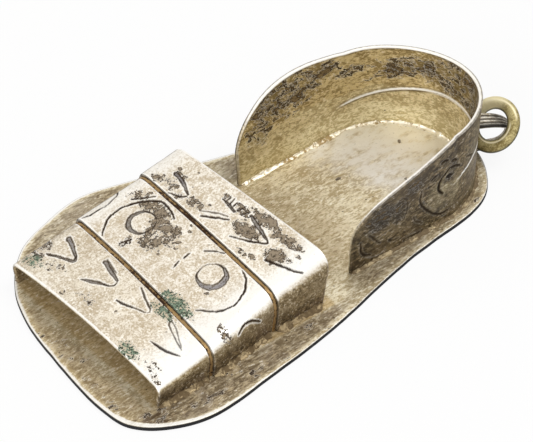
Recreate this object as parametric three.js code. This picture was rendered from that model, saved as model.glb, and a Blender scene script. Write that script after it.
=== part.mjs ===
import * as THREE from "three";

// A sandal pendant made of silver sheet, in millimetres.
// +X runs to the heel, -Y to the inner side of the foot, +Z up.
// The origin is on the sole's underside, halfway between toe and heel.

// Sheet thicknesses
const SOLE_THICKNESS = 0.5;
const STRAP_SHEET = 0.45;
const COUNTER_SHEET = 0.45;

// Lengths along the foot, from the tip of the toe to the back of the heel
const TOE_SHOW = 4;
const FRONT_STRAP_WIDTH = 6.6;
const MIDDLE_STRAP_WIDTH = 7.5;
const REAR_STRAP_WIDTH = 5.2;
const STRAP_GAP = 0.3;
const WAIST_OPENING = 4.6;
const COUNTER_LENGTH = 20.4;
const HEEL_SHOW = 1.1;

// The four edges across the straps. Heights are above the sole, to the outer bend;
// skew is how far an edge leans along X for each millimetre of Y.
const FRONT_EDGE = {
  skew: 0, nearFoot: 10.65, farFoot: 10.95, nearHeight: 2.4, farHeight: 2.2, lean: 0.5, crown: 0.9, bend: 1.1,
};
const FIRST_JOINT = {
  skew: 0.06, nearFoot: 10.6, farFoot: 11.2, nearHeight: 3.2, farHeight: 3.3, lean: 0.3, crown: 0.5, bend: 1.5,
};
const SECOND_JOINT = {
  skew: 0.04, nearFoot: 9.7, farFoot: 11, nearHeight: 4.5, farHeight: 4.8, lean: 0.6, crown: 0.25, bend: 2,
};
const REAR_EDGE = {
  skew: -0.02, nearFoot: 9.75, farFoot: 11, nearHeight: 6.4, farHeight: 5.6, lean: 1.1, crown: 0.2, bend: 2.4,
};
const STRAP_STEP = 0.2; // each later strap's front edge stands this proud of the strap before it

// Heel counter: two straight sides and a half round back
const COUNTER_HALF_WIDTH = 8.4;
const COUNTER_HEIGHT = 9.5; // above the sole
const COUNTER_TIP_HEIGHT = 3.1;
const COUNTER_RISE_LENGTH = 11; // from a front tip to where the rim is level
const COUNTER_RISE_POWER = 2.15;
const COUNTER_BACK_DIP = 0.3;
const COUNTER_FLARE = 1.25; // how far the rim leans out beside the foot
const COUNTER_FLARE_LENGTH = 14.2;
const COUNTER_FLARE_LEAD = 1;
const COUNTER_BACK_LEAN = 0.75; // how far the rim leans out behind the heel
const COUNTER_LEAN_TURN = THREE.MathUtils.degToRad(-12);
const COUNTER_LEAN_POWER = 4;

// Eye: a ribbed ribbon bent over and soldered to the heel's back, a little askew
const EYE_WIDTH = 2.15;
const EYE_ARM_WIDTH = 1.15;
const EYE_RIBBON = 0.39;
const EYE_REACH = 4.65;
const EYE_TOP = 3.65; // above the sole
const EYE_NOSE_HEIGHT = 1.7;
const EYE_ARCH_POWER = 2.25; // 2 would make the arch a plain ellipse, more makes it squarer
const EYE_RIBS = 4;
const EYE_RIB_DEPTH = 0.09;
const EYE_SIDE_SHIFT = 2.05; // from the centre line to the inner side
const EYE_TURN = THREE.MathUtils.degToRad(-24.25);
const EYE_CLEARANCE = 0.65; // from the heel's back, which leans out over the eye

// Jump ring, lying tilted in the eye
const RING_WIRE = 1.3;
const RING_INSIDE = 3.1;
const RING_AXIS_TURN = THREE.MathUtils.degToRad(185);
const RING_AXIS_RISE = THREE.MathUtils.degToRad(46.4);
const RING_REACH = 2.745; // of the ring's centre, from the heel's back along the eye
const RING_SIDE = -0.14;
const RING_HEIGHT = 2.68; // of the ring's centre, above the sole

// Number of steps in each curved shape
const OUTLINE_STEPS = 110;
const STRAP_STEPS = { along: 4, wall: 3, bend: 7, top: 12 };
const COUNTER_STEPS = { side: 14, back: 32, height: 6 };
const EYE_STEPS = { arch: 16, nose: 8, arm: 3, rib: 6 };
const RING_STEPS = { wire: 14, round: 48 };

// Places along X, each from the one before it
const soleLength =
  TOE_SHOW + FRONT_STRAP_WIDTH + MIDDLE_STRAP_WIDTH + REAR_STRAP_WIDTH + 2 * STRAP_GAP +
  WAIST_OPENING + COUNTER_LENGTH + HEEL_SHOW;
const toeX = -soleLength / 2;
const heelX = soleLength / 2;
const frontEdgeX = toeX + TOE_SHOW;
const firstJointX = frontEdgeX + FRONT_STRAP_WIDTH + STRAP_GAP / 2;
const secondJointX = firstJointX + MIDDLE_STRAP_WIDTH + STRAP_GAP;
const rearEdgeX = secondJointX + REAR_STRAP_WIDTH + STRAP_GAP / 2;
const counterTipX = rearEdgeX + WAIST_OPENING;
const counterBackX = counterTipX + COUNTER_LENGTH;
const roundCentreX = counterBackX - COUNTER_HALF_WIDTH;

// Finishes
const silver = new THREE.MeshStandardMaterial({ color: 0xb3a488, metalness: 1, roughness: 0.45 });
const darkSilver = new THREE.MeshStandardMaterial({ color: 0x8c8371, metalness: 1, roughness: 0.5 });
const brass = new THREE.MeshStandardMaterial({ color: 0xa89a5b, metalness: 1, roughness: 0.35 });

// Joins rows of sheet cross-sections into one closed solid. Each row holds the same number of points
// on its outer face and on its inner face.
function sheetSolid(rows) {
  const loops = rows.map(({ outer, inner }) => [...outer, ...[...inner].reverse()]);
  const count = loops[0].length;
  const triangles = [];
  const quad = (a, b, c, d) => triangles.push([a, b, c], [a, c, d]);
  for (let i = 0; i + 1 < loops.length; i += 1) {
    for (let j = 0; j < count; j += 1) {
      const next = (j + 1) % count;
      quad(loops[i][j], loops[i + 1][j], loops[i + 1][next], loops[i][next]);
    }
  }
  const last = loops.length - 1;
  for (let j = 0; j + 1 < count / 2; j += 1) {
    const back = count - 1 - j;
    quad(loops[0][j], loops[0][j + 1], loops[0][back - 1], loops[0][back]);
    quad(loops[last][back], loops[last][back - 1], loops[last][j + 1], loops[last][j]);
  }
  const corner = new THREE.Vector3();
  const volume = triangles.reduce((sum, [a, b, c]) => sum + corner.crossVectors(b, c).dot(a), 0);
  const outward = volume > 0 ? triangles : triangles.map(([a, b, c]) => [a, c, b]);
  const geometry = new THREE.BufferGeometry().setFromPoints(outward.flat());
  geometry.computeVertexNormals();
  return geometry;
}

function node(name, geometry, material) {
  const mesh = new THREE.Mesh(geometry, material);
  mesh.name = name;
  return mesh;
}

// Sole plate. Each outline point is given from the toe or the heel, and by its margin
// beyond the straps' feet or the counter's wall.
function solePlate() {
  const beyondToe = (x, side, margin) => {
    const strapEdge = side < 0 ? FRONT_EDGE.nearFoot : FIRST_JOINT.farFoot;
    return new THREE.Vector3(toeX + x, side * (strapEdge + margin), 0);
  };
  const beforeHeel = (x, side, margin) => new THREE.Vector3(heelX - x, side * (COUNTER_HALF_WIDTH + margin), 0);
  const near = -1;
  const far = 1;
  const outline = [
    beyondToe(0, near, -3.2),
    beyondToe(0.6, near, -0.1),
    beyondToe(2.6, near, 2.05),
    beyondToe(6.8, near, 3.8),
    beyondToe(14.2, near, 3.35),
    beyondToe(22.9, near, 2.15),
    beforeHeel(17.3, near, 2.2),
    beforeHeel(12.4, near, 1.45),
    beforeHeel(6.8, near, 0.8),
    beforeHeel(3.9, near, -0.4),
    beforeHeel(2.1, near, -2.2),
    beforeHeel(0.6, near, -5),
    beforeHeel(0, near, -8),
    beforeHeel(0.5, far, -4.6),
    beforeHeel(2.1, far, -1.8),
    beforeHeel(4.6, far, 0),
    beforeHeel(8.5, far, 1.3),
    beforeHeel(14, far, 2.4),
    beforeHeel(19.4, far, 4),
    beyondToe(19.8, far, 4.6),
    beyondToe(15.8, far, 5.5),
    beyondToe(11.7, far, 4.8),
    beyondToe(7.1, far, 3.05),
    beyondToe(3.4, far, -0.85),
    beyondToe(1.5, far, -5.45),
    beyondToe(0.4, near, -9.2),
  ];
  const curve = new THREE.CatmullRomCurve3(outline, true, "centripetal");
  const rim = curve.getPoints(OUTLINE_STEPS).slice(1);
  const shape = new THREE.Shape(rim.map(({ x, y }) => new THREE.Vector2(x, y)));
  return new THREE.ExtrudeGeometry(shape, { depth: SOLE_THICKNESS, bevelEnabled: false });
}

function mixEdges(first, second, share) {
  const mixed = {};
  for (const size of Object.keys(first)) {
    mixed[size] = THREE.MathUtils.lerp(first[size], second[size], share);
  }
  return mixed;
}

// Outer line of a strap across the foot, from the near foot over the top to the far foot,
// as points of Y and height above the sole. raised moves the whole line outwards.
function strapLine(edge, raised) {
  const nearFoot = new THREE.Vector2(-edge.nearFoot - raised, 0);
  const farFoot = new THREE.Vector2(edge.farFoot + raised, 0);
  const nearCorner = new THREE.Vector2(-edge.nearFoot - edge.lean - raised, edge.nearHeight + raised);
  const farCorner = new THREE.Vector2(edge.farFoot + edge.lean + raised, edge.farHeight + raised);
  const towards = (from, to) => from.clone().add(to.clone().sub(from).setLength(edge.bend));
  const stretches = [
    [new THREE.LineCurve(nearFoot, towards(nearCorner, nearFoot)), STRAP_STEPS.wall],
    [new THREE.QuadraticBezierCurve(towards(nearCorner, nearFoot), nearCorner, towards(nearCorner, farCorner)),
      STRAP_STEPS.bend],
    [new THREE.LineCurve(towards(nearCorner, farCorner), towards(farCorner, nearCorner)), STRAP_STEPS.top],
    [new THREE.QuadraticBezierCurve(towards(farCorner, nearCorner), farCorner, towards(farCorner, farFoot)),
      STRAP_STEPS.bend],
    [new THREE.LineCurve(towards(farCorner, farFoot), farFoot), STRAP_STEPS.wall],
  ];
  const line = [nearFoot];
  for (const [curve, steps] of stretches) {
    line.push(...curve.getPoints(steps).slice(1));
  }
  return line.map(({ x: y, y: height }) => {
    const across = (2 * (y - nearCorner.x)) / (farCorner.x - nearCorner.x) - 1;
    const share = height / Math.max(edge.nearHeight, edge.farHeight);
    return new THREE.Vector2(y, height + edge.crown * (1 - across * across) * share);
  });
}

// The line moved inwards by the sheet's thickness, with its two ends kept on the sole
function insideLine(line, thickness) {
  return line.map((point, i) => {
    const before = line[Math.max(i - 1, 0)];
    const after = line[Math.min(i + 1, line.length - 1)];
    const along = after.clone().sub(before).normalize();
    const inner = new THREE.Vector2(point.x + along.y * thickness, point.y - along.x * thickness);
    if (i === 0 || i === line.length - 1) {
      inner.y = 0;
    }
    return inner;
  });
}

// One strap between two edges. startX and endX are where those edges cross the centre line.
function strap(start, end, startX, endX, step) {
  const rows = [];
  for (let i = 0; i <= STRAP_STEPS.along; i += 1) {
    const share = i / STRAP_STEPS.along;
    const edge = mixEdges(start, end, share);
    const x = THREE.MathUtils.lerp(startX, endX, share);
    const outerLine = strapLine(edge, step * (1 - share));
    const innerLine = insideLine(outerLine, STRAP_SHEET);
    const place = ({ x: y, y: height }) => new THREE.Vector3(x + edge.skew * y, y, SOLE_THICKNESS + height);
    rows.push({ outer: outerLine.map(place), inner: innerLine.map(place) });
  }
  return sheetSolid(rows);
}

// Plan of the counter's outer face at the sole: near tip, near side, round back, far side, far tip.
// Each station has its place and its outward direction.
function counterStations() {
  const sideLength = roundCentreX - counterTipX;
  const side = [];
  for (let i = 0; i < COUNTER_STEPS.side; i += 1) {
    side.push(counterTipX + sideLength * (i / COUNTER_STEPS.side) ** 1.6);
  }
  const nearSide = side.map((x) => ({ x, y: -COUNTER_HALF_WIDTH, outX: 0, outY: -1 }));
  const farSide = side.map((x) => ({ x, y: COUNTER_HALF_WIDTH, outX: 0, outY: 1 })).reverse();
  const back = [];
  for (let i = 0; i <= COUNTER_STEPS.back; i += 1) {
    const turn = Math.PI * (i / COUNTER_STEPS.back - 0.5);
    const outX = Math.cos(turn);
    const outY = Math.sin(turn);
    back.push({ x: roundCentreX + COUNTER_HALF_WIDTH * outX, y: COUNTER_HALF_WIDTH * outY, outX, outY });
  }
  return [...nearSide, ...back, ...farSide];
}

// Height of the counter's rim above the sole: a superellipse from the tip, then a shallow dip at the back
function rimHeight(x) {
  const short = Math.max(0, 1 - (x - counterTipX) / COUNTER_RISE_LENGTH);
  const rise = (1 - short ** COUNTER_RISE_POWER) ** (1 / COUNTER_RISE_POWER);
  const past = Math.max(0, (x - roundCentreX) / COUNTER_HALF_WIDTH);
  return COUNTER_TIP_HEIGHT + (COUNTER_HEIGHT - COUNTER_TIP_HEIGHT) * rise - COUNTER_BACK_DIP * past * past;
}

// How far the rim leans out: half a sine wave along the side
function rimFlare(x) {
  const share = (x - counterTipX + COUNTER_FLARE_LEAD) / COUNTER_FLARE_LENGTH;
  return share < 1 ? COUNTER_FLARE * Math.sin(Math.PI * share) : 0;
}

// How far the rim leans out round the back, most towards the turned lean direction
function backLean(outX, outY) {
  const facing = outX * Math.cos(COUNTER_LEAN_TURN) + outY * Math.sin(COUNTER_LEAN_TURN);
  return COUNTER_BACK_LEAN * Math.max(0, facing) ** COUNTER_LEAN_POWER;
}

function heelCounter() {
  const rows = counterStations().map(({ x, y, outX, outY }) => {
    const rimLean = rimFlare(x) + backLean(outX, outY);
    const outer = [];
    const inner = [];
    for (let k = 0; k <= COUNTER_STEPS.height; k += 1) {
      const share = k / COUNTER_STEPS.height;
      const lean = rimLean * share ** 1.5;
      const z = SOLE_THICKNESS + rimHeight(x) * share;
      outer.push(new THREE.Vector3(x + outX * lean, y + outY * lean, z));
      const inwards = lean - COUNTER_SHEET;
      inner.push(new THREE.Vector3(x + outX * inwards, y + outY * inwards, z));
    }
    return { outer, inner };
  });
  return sheetSolid(rows);
}

// The eye's own frame: its root on the heel's back, the way it reaches out, and the way its width runs
const eyeRootAngle = -Math.asin(EYE_SIDE_SHIFT / COUNTER_HALF_WIDTH);
const eyeRoot = new THREE.Vector3(
  roundCentreX + COUNTER_HALF_WIDTH * Math.cos(eyeRootAngle),
  COUNTER_HALF_WIDTH * Math.sin(eyeRootAngle),
  SOLE_THICKNESS,
);
const eyeOut = new THREE.Vector3(Math.cos(EYE_TURN), Math.sin(EYE_TURN), 0);
const eyeAcross = new THREE.Vector3(-Math.sin(EYE_TURN), Math.cos(EYE_TURN), 0);

function eyePlace(reach, side, height) {
  const place = eyeRoot.clone().addScaledVector(eyeOut, reach).addScaledVector(eyeAcross, side);
  return place.setZ(SOLE_THICKNESS + height);
}

// Side view of the ribbon: a quarter of a squarish ellipse out and down to the nose, a quarter circle
// under it, and a straight arm back along the sole. Each point has its reach, height and outward direction.
function eyeProfile() {
  const profile = [];
  const push = (reach, height, outReach, outHeight) => {
    const length = Math.hypot(outReach, outHeight);
    profile.push({ reach, height, outReach: outReach / length, outHeight: outHeight / length });
  };
  const archHeight = EYE_TOP - EYE_NOSE_HEIGHT;
  const startTurn = Math.acos((EYE_CLEARANCE / EYE_REACH) ** (EYE_ARCH_POWER / 2));
  for (let i = 0; i <= EYE_STEPS.arch; i += 1) {
    const turn = startTurn * (1 - i / EYE_STEPS.arch);
    const outShare = Math.cos(turn) ** (2 / EYE_ARCH_POWER);
    const upShare = Math.sin(turn) ** (2 / EYE_ARCH_POWER);
    const outReach = outShare ** (EYE_ARCH_POWER - 1) / EYE_REACH;
    const outHeight = upShare ** (EYE_ARCH_POWER - 1) / archHeight;
    push(EYE_REACH * outShare, EYE_NOSE_HEIGHT + archHeight * upShare, outReach, outHeight);
  }
  for (let i = 1; i <= EYE_STEPS.nose; i += 1) {
    const turn = ((Math.PI / 2) * i) / EYE_STEPS.nose;
    const reach = EYE_REACH - EYE_NOSE_HEIGHT * (1 - Math.cos(turn));
    push(reach, EYE_NOSE_HEIGHT * (1 - Math.sin(turn)), Math.cos(turn), -Math.sin(turn));
  }
  const armStart = EYE_REACH - EYE_NOSE_HEIGHT;
  for (let i = 1; i <= EYE_STEPS.arm; i += 1) {
    push(THREE.MathUtils.lerp(armStart, EYE_CLEARANCE, i / EYE_STEPS.arm), 0, 0, -1);
  }
  return profile;
}

// The ribbon narrows towards its arm. Ribs run along it and fade out on the arm, which lies flat on the sole.
function hangingEye() {
  const steps = EYE_RIBS * EYE_STEPS.rib;
  const armStart = EYE_STEPS.arch + EYE_STEPS.nose;
  const rows = eyeProfile().map(({ reach, height, outReach, outHeight }, i) => {
    const ribbed = Math.min(1, Math.max(0, (armStart - i) / EYE_STEPS.nose));
    const width = THREE.MathUtils.lerp(EYE_WIDTH, EYE_ARM_WIDTH, Math.min(1, i / armStart));
    const outer = [];
    const inner = [];
    for (let k = 0; k <= steps; k += 1) {
      const side = width * (k / steps - 0.5);
      const groove = EYE_RIB_DEPTH * ribbed * Math.cos((Math.PI * k) / EYE_STEPS.rib) ** 2;
      outer.push(eyePlace(reach - outReach * groove, side, height - outHeight * groove));
      outer[k].z = Math.max(outer[k].z, SOLE_THICKNESS);
      inner.push(eyePlace(reach - outReach * EYE_RIBBON, side, height - outHeight * EYE_RIBBON));
    }
    return { outer, inner };
  });
  return sheetSolid(rows);
}

function jumpRing() {
  const meanRadius = (RING_INSIDE + RING_WIRE) / 2;
  return new THREE.TorusGeometry(meanRadius, RING_WIRE / 2, RING_STEPS.wire, RING_STEPS.round);
}

const pendant = new THREE.Group();
pendant.add(node("sole_plate", solePlate(), silver));
pendant.add(node(
  "front_strap",
  strap(FRONT_EDGE, FIRST_JOINT, frontEdgeX, firstJointX - STRAP_GAP / 2, 0),
  silver,
));
pendant.add(node(
  "middle_strap",
  strap(FIRST_JOINT, SECOND_JOINT, firstJointX + STRAP_GAP / 2, secondJointX - STRAP_GAP / 2, STRAP_STEP),
  silver,
));
pendant.add(node(
  "rear_strap",
  strap(SECOND_JOINT, REAR_EDGE, secondJointX + STRAP_GAP / 2, rearEdgeX, STRAP_STEP),
  silver,
));
pendant.add(node("heel_counter", heelCounter(), darkSilver));
pendant.add(node("hanging_eye", hangingEye(), darkSilver));

const ring = node("jump_ring", jumpRing(), brass);
const ringAxis = new THREE.Vector3(
  Math.cos(RING_AXIS_RISE) * Math.cos(RING_AXIS_TURN),
  Math.cos(RING_AXIS_RISE) * Math.sin(RING_AXIS_TURN),
  Math.sin(RING_AXIS_RISE),
);
ring.quaternion.setFromUnitVectors(new THREE.Vector3(0, 0, 1), ringAxis);
ring.position.copy(eyePlace(RING_REACH, RING_SIDE, RING_HEIGHT));
pendant.add(ring);

export default pendant;
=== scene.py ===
"""Sandal pendant of tarnished silver sheet, dressed for a studio picture.

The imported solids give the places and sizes. Each sheet is made again as a fine numpy surface with
its engraving, edges and unevenness, solder is added where pieces meet, and procedural finishes
give the metal its tarnish. Lengths are in millimetres until a mesh is written in metres.
"""

import logging
import math
from dataclasses import astuple, dataclass, replace
from enum import Enum
from typing import Iterable, Sequence

import bpy
import numpy as np
from mathutils import Matrix, Vector


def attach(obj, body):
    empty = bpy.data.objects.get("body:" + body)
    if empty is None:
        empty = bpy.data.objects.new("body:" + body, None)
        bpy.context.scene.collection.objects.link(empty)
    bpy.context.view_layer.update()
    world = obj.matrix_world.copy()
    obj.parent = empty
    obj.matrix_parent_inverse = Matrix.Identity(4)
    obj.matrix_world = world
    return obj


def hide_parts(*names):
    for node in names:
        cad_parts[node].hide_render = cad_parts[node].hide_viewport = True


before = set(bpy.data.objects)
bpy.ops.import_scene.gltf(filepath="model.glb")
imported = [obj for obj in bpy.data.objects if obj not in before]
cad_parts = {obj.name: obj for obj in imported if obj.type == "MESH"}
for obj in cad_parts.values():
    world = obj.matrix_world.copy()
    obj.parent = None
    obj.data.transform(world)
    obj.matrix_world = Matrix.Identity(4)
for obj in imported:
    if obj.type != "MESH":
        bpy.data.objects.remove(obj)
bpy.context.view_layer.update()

LOG = logging.getLogger("sandal_pendant")
MM = 0.001
Array = np.ndarray
Values = dict[str, Array]
Pair = tuple[float, float]
Place = tuple[float, float, float]


class Body(Enum):
    """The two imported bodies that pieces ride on."""

    PENDANT = "pendant"
    RING = "ring"


class Slot(Enum):
    """The record's material slots."""

    SILVER = "silver_sheet"
    DARK_SILVER = "dark_silver_sheet"
    BRASS = "brass_wire"


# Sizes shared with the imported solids, and the place of the round heel's centre
SOLE_TOP = 0.5
SHEET = 0.45
HEEL_CENTRE_X = 15.5

# How far feet and solder reach under the sole's top, so that no gap shows
FOOT_SINK = 0.02
SOLDER_SINK = 0.03

CURVE_STEPS = 6
LATTICE = 97


# Numpy helpers


def smooth(edge0: float | Array, edge1: float | Array, value: Array) -> Array:
    """Smooth step from 0 at edge0 to 1 at edge1: 3t² − 2t³ of the clipped share t.

    Args:
        edge0: Where the step starts.
        edge1: Where the step ends; it may lie below edge0.
        value: Numbers to map.

    Returns:
        Numbers from 0 to 1.
    """
    share = np.clip((value - edge0) / (edge1 - edge0), 0.0, 1.0)
    return share * share * (3.0 - 2.0 * share)


def band(value: Array, start: float, full: float, fade: float, end: float) -> Array:
    """Smooth band: the product of a step up from start to full and a step down from fade to end.

    Args:
        value: Numbers to map.
        start: Where the band starts.
        full: Where it reaches 1.
        fade: Where it leaves 1.
        end: Where it ends.

    Returns:
        Numbers from 0 to 1.
    """
    return smooth(start, full, value) * smooth(end, fade, value)


def soft_line(off: Array, place: float, sharp: float) -> Array:
    """Bell curve round a place: e to the power of −sharp × (off − place)².

    Args:
        off: Numbers to map.
        place: Where the curve is 1.
        sharp: How narrow it is.

    Returns:
        Numbers from 0 to 1.
    """
    return np.exp(-((off - place) ** 2) * sharp)


def value_noise(u: Array, v: Array, cell: float, seed: int) -> Array:
    """Smooth noise: seeded random numbers on a square lattice, blended with smooth steps.

    Args:
        u: First coordinate.
        v: Second coordinate.
        cell: Size of a lattice square.
        seed: Seed of the lattice.

    Returns:
        Numbers from -1 to 1.
    """
    lattice = np.random.default_rng(seed).uniform(-1.0, 1.0, (LATTICE, LATTICE))
    fu, fv = u / cell + 40.0, v / cell + 40.0
    iu, iv = np.floor(fu).astype(int), np.floor(fv).astype(int)
    tu, tv = smooth(0.0, 1.0, fu - iu), smooth(0.0, 1.0, fv - iv)
    a, b, c, d = (lattice[(iu + i) % LATTICE, (iv + j) % LATTICE] for j in (0, 1) for i in (0, 1))
    return (a * (1 - tu) + b * tu) * (1 - tv) + (c * (1 - tu) + d * tu) * tv


def layered_noise(u: Array, v: Array, cell: float, seed: int) -> Array:
    """Three layers of value noise, each with half the cell and half the weight of the last.

    Args:
        u: First coordinate.
        v: Second coordinate.
        cell: Size of the first layer's lattice square.
        seed: Seed of the first layer.

    Returns:
        Numbers from about -1 to 1.
    """
    return sum(value_noise(u, v, cell / 2**k, seed + k) / 2**k for k in range(3)) / 1.75


def curve_through(points: Sequence[float]) -> Array:
    """Smooth open line through points: uniform Catmull-Rom cubics with doubled ends.

    Args:
        points: Both numbers of each point to pass through, one after another.

    Returns:
        Points of the line, as (n, 2).
    """
    given = np.array(points, float).reshape(-1, 2)
    if len(given) == 2:
        return given[0] + (given[1] - given[0]) * np.linspace(0, 1, CURVE_STEPS + 1)[:, None]
    ends = np.vstack([2 * given[0] - given[1], given, 2 * given[-1] - given[-2]])
    p0, p1, p2, p3 = (ends[k : len(ends) - 3 + k, None, :] for k in range(4))
    t = np.linspace(0, 1, CURVE_STEPS, endpoint=False)[None, :, None]
    square, cube = 2 * p0 - 5 * p1 + 4 * p2 - p3, 3 * p1 - p0 - 3 * p2 + p3
    line = 0.5 * (2 * p1 + (p2 - p0) * t + square * t**2 + cube * t**3)
    return np.vstack([line.reshape(-1, 2), given[-1]])


def surface_normals(points: Array) -> Array:
    """Unit normals of a grid of points: the cross product of its two gradients.

    Args:
        points: Grid of points, as (rows, columns, 3).

    Returns:
        Normals of the same shape, along rows × columns.
    """
    normal = np.cross(np.gradient(points, axis=0), np.gradient(points, axis=1))
    return normal / np.maximum(np.linalg.norm(normal, axis=2, keepdims=True), 1e-12)


def with_rounded_ends(length: float, steps: int, edge: float) -> Array:
    """Places from 0 to length, with extra ones inside each rounded edge.

    Args:
        length: Length to cover.
        steps: Even steps between the two edges.
        edge: Radius of the rounded edges.

    Returns:
        Rising places.
    """
    near = edge * (1 - np.cos(np.linspace(0, math.pi / 2, 5)))
    inner = np.linspace(edge, length - edge, steps + 1)[1:-1]
    return np.concatenate([near, inner, length - near[::-1]])


def edge_drop(distance: Array, radius: float) -> Array:
    """How far a rounded edge lies below the face: a quarter circle of the given radius.

    Args:
        distance: Distance from the edge.
        radius: Radius of the rounding.

    Returns:
        The drop, 0 past the radius.
    """
    inside = np.clip(radius - distance, 0, radius)
    return radius - np.sqrt(radius**2 - inside**2)


def above_sole(points: Array, sunk: float) -> Array:
    """Lifts the points that lie too deep under the sole's top.

    Args:
        points: Points with a last axis of 3.
        sunk: How deep a point may lie.

    Returns:
        The points, the same shape.
    """
    return np.concatenate([points[..., :2], np.maximum(points[..., 2:], SOLE_TOP - sunk)], -1)


# Marks cut or stained into a surface, in that surface's own two coordinates


class Mark:
    """Base of the cut marks: a depth in millimetres, negative where the mark stands up, and shares.

    The shares say how dark the mark is, how bare its wide inside, how raised its brink and how bright
    the painted highlight on that brink is, and how brightly the mark itself shines as a painted highlight.
    """

    depth: float
    dark: float
    bare: float
    burr: float
    shine: float

    def inside(self, u: Array, v: Array) -> Array:
        """How far each place lies inside the mark's edge.

        Args:
            u: First surface coordinate.
            v: Second surface coordinate.

        Returns:
            Millimetres, negative outside.
        """
        raise NotImplementedError


@dataclass(frozen=True)
class Stroke(Mark):
    """A chisel stroke along a smooth line. The inside of a wide one may be bare grey metal.

    Its points are given as both numbers of each, one after another.
    """

    points: tuple[float, ...]
    start_width: float = 0.2
    end_width: float = 0.1
    belly: float = 0.06
    depth: float = 0.08
    dark: float = 1.0
    bare: float = 0.0
    burr: float = 0.75
    shine: float = 0.0

    def inside(self, u: Array, v: Array) -> Array:
        """Half the local width less the way to the line; a parabola gives the belly."""
        line = curve_through(self.points)
        best = np.full(u.shape, -np.inf)
        span = len(line) - 1
        for k in range(span):
            a, along = line[k], line[k + 1] - line[k]
            du, dv = u - a[0], v - a[1]
            share = np.clip((du * along[0] + dv * along[1]) / max(along @ along, 1e-9), 0, 1)
            away = np.hypot(du - share * along[0], dv - share * along[1])
            place = (k + share) / span
            width = self.start_width + (self.end_width - self.start_width) * place
            width = width + self.belly * 4 * place * (1 - place)
            best = np.maximum(best, width / 2 - away)
        return best

    def mirrored(self, total: float) -> "Stroke":
        """The same stroke at the same length from the other end of a strip.

        Args:
            total: Length of the strip.

        Returns:
            The mirror image.
        """
        u, v = np.reshape(self.points, (-1, 2)).T
        return replace(self, points=tuple(np.stack([total - u, v], 1).ravel()))


@dataclass(frozen=True)
class Crescent(Mark):
    """A punched ring that is thicker on one side: between a circle and a shifted smaller one."""

    centre: Pair
    radius: float
    inner_centre: Pair
    inner_radius: float
    depth: float = 0.1
    dark: float = 1.0
    bare: float = 0.9
    burr: float = 0.5
    shine: float = 0.0

    def inside(self, u: Array, v: Array) -> Array:
        """The nearer of the distances to the two circles."""
        inside = self.radius - np.hypot(u - self.centre[0], v - self.centre[1])
        outside = np.hypot(u - self.inner_centre[0], v - self.inner_centre[1]) - self.inner_radius
        return np.minimum(inside, outside)


@dataclass(frozen=True)
class Blot:
    """A patch with a wide soft edge, which the finish breaks up: a turned ellipse with noise."""

    u: float
    v: float
    long: float
    wide: float
    turn: float = 0.0
    strength: float = 1.0
    ragged: float = 0.35

    def cover(self, u: Array, v: Array) -> Array:
        """Share of the patch: smooth fall across the ellipse's edge, moved by noise.

        Args:
            u: First surface coordinate.
            v: Second surface coordinate.

        Returns:
            Up to strength inside, 0 outside.
        """
        c, s = math.cos(math.radians(self.turn)), math.sin(math.radians(self.turn))
        du, dv = u - self.u, v - self.v
        reach = np.hypot((du * c + dv * s) / self.long, (dv * c - du * s) / self.wide)
        return self.strength * smooth(1.45, 0.45, reach + self.ragged * layered_noise(u, v, 0.7, 7))


def raised(
    points: tuple[float, ...],
    start: float,
    end: float,
    belly: float,
    height: float,
    shine: float,
    burr: float = 0.0,
) -> Stroke:
    """A stroke that stands up and shines instead of being cut.

    Args:
        points: Both numbers of each point that it passes through, one after another.
        start: Width at its start.
        end: Width at its end.
        belly: Extra width half way.
        height: How far it stands up.
        shine: How bright it is.
        burr: How far its brinks are raised, and how bright their painted highlight is.

    Returns:
        The stroke.
    """
    return Stroke(points, start, end, belly, -height, 0.0, 0.0, burr, shine)


def unsteady(place: Array, u: Array, v: Array, seed: int) -> Array:
    """Moves a surface coordinate a little by noise, as an unsteady hand does.

    Args:
        place: The coordinate to move.
        u: First surface coordinate.
        v: Second surface coordinate.
        seed: Seed of the noise.

    Returns:
        The moved coordinate.
    """
    return place + 0.03 * value_noise(u, v, 0.35, seed) + 0.05 * value_noise(u, v, 1.1, seed + 3)


def cut_values(marks: Iterable[Mark], u: Array, v: Array) -> tuple[Array, Values]:
    """Depth of the marks, how dark and bare each place is, and the raised brink's painted highlight.

    Args:
        marks: The marks.
        u: First surface coordinate.
        v: Second surface coordinate.

    Returns:
        Depth in millimetres, less a low burr beside each mark, and three values: how dark, how bare,
        and how bright a painted highlight each place gets beside a mark.
    """
    depth, cut, bare, burr = (np.zeros(u.shape) for _ in range(4))
    moved_u, moved_v = unsteady(u, u, v, 201), unsteady(v, u, v, 211)
    ragged = 0.03 * value_noise(u, v, 0.25, 221)
    for mark in marks:
        inside = mark.inside(moved_u, moved_v) + ragged
        core = mark.bare * smooth(0.06, 0.15, inside)
        push = mark.depth * smooth(-0.03, 0.12, inside)
        depth = np.where(np.abs(push) > np.abs(depth), push, depth)
        cut = np.maximum(cut, mark.dark * smooth(-0.07, 0.02, inside) * (1 - core))
        bare = np.maximum(bare, core)
        # Brink beside each mark: raised a little, and given a painted highlight.
        brink_highlight = 0.95 * mark.burr * band(inside, -0.24, -0.13, -0.06, -0.02)
        burr = np.maximum(burr, np.maximum(brink_highlight, mark.shine * smooth(-0.05, 0.05, inside)))
    burr = burr * (1 - cut)
    return depth - 0.03 * burr, {"cut": cut, "bare": bare, "burr": burr}


def blot_cover(blots: Iterable[Blot], u: Array, v: Array) -> Array:
    """The strongest of several patches at each place.

    Args:
        blots: The patches.
        u: First surface coordinate.
        v: Second surface coordinate.

    Returns:
        Numbers from 0 up to the largest strength.
    """
    return np.maximum.reduce([np.zeros(u.shape), *[blot.cover(u, v) for blot in blots]])


# Meshes


def add_object(name: str, data: bpy.types.ID) -> bpy.types.Object:
    """Makes an object and links it into the scene."""
    made = bpy.data.objects.new(name, data)
    bpy.context.scene.collection.objects.link(made)
    return made


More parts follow.
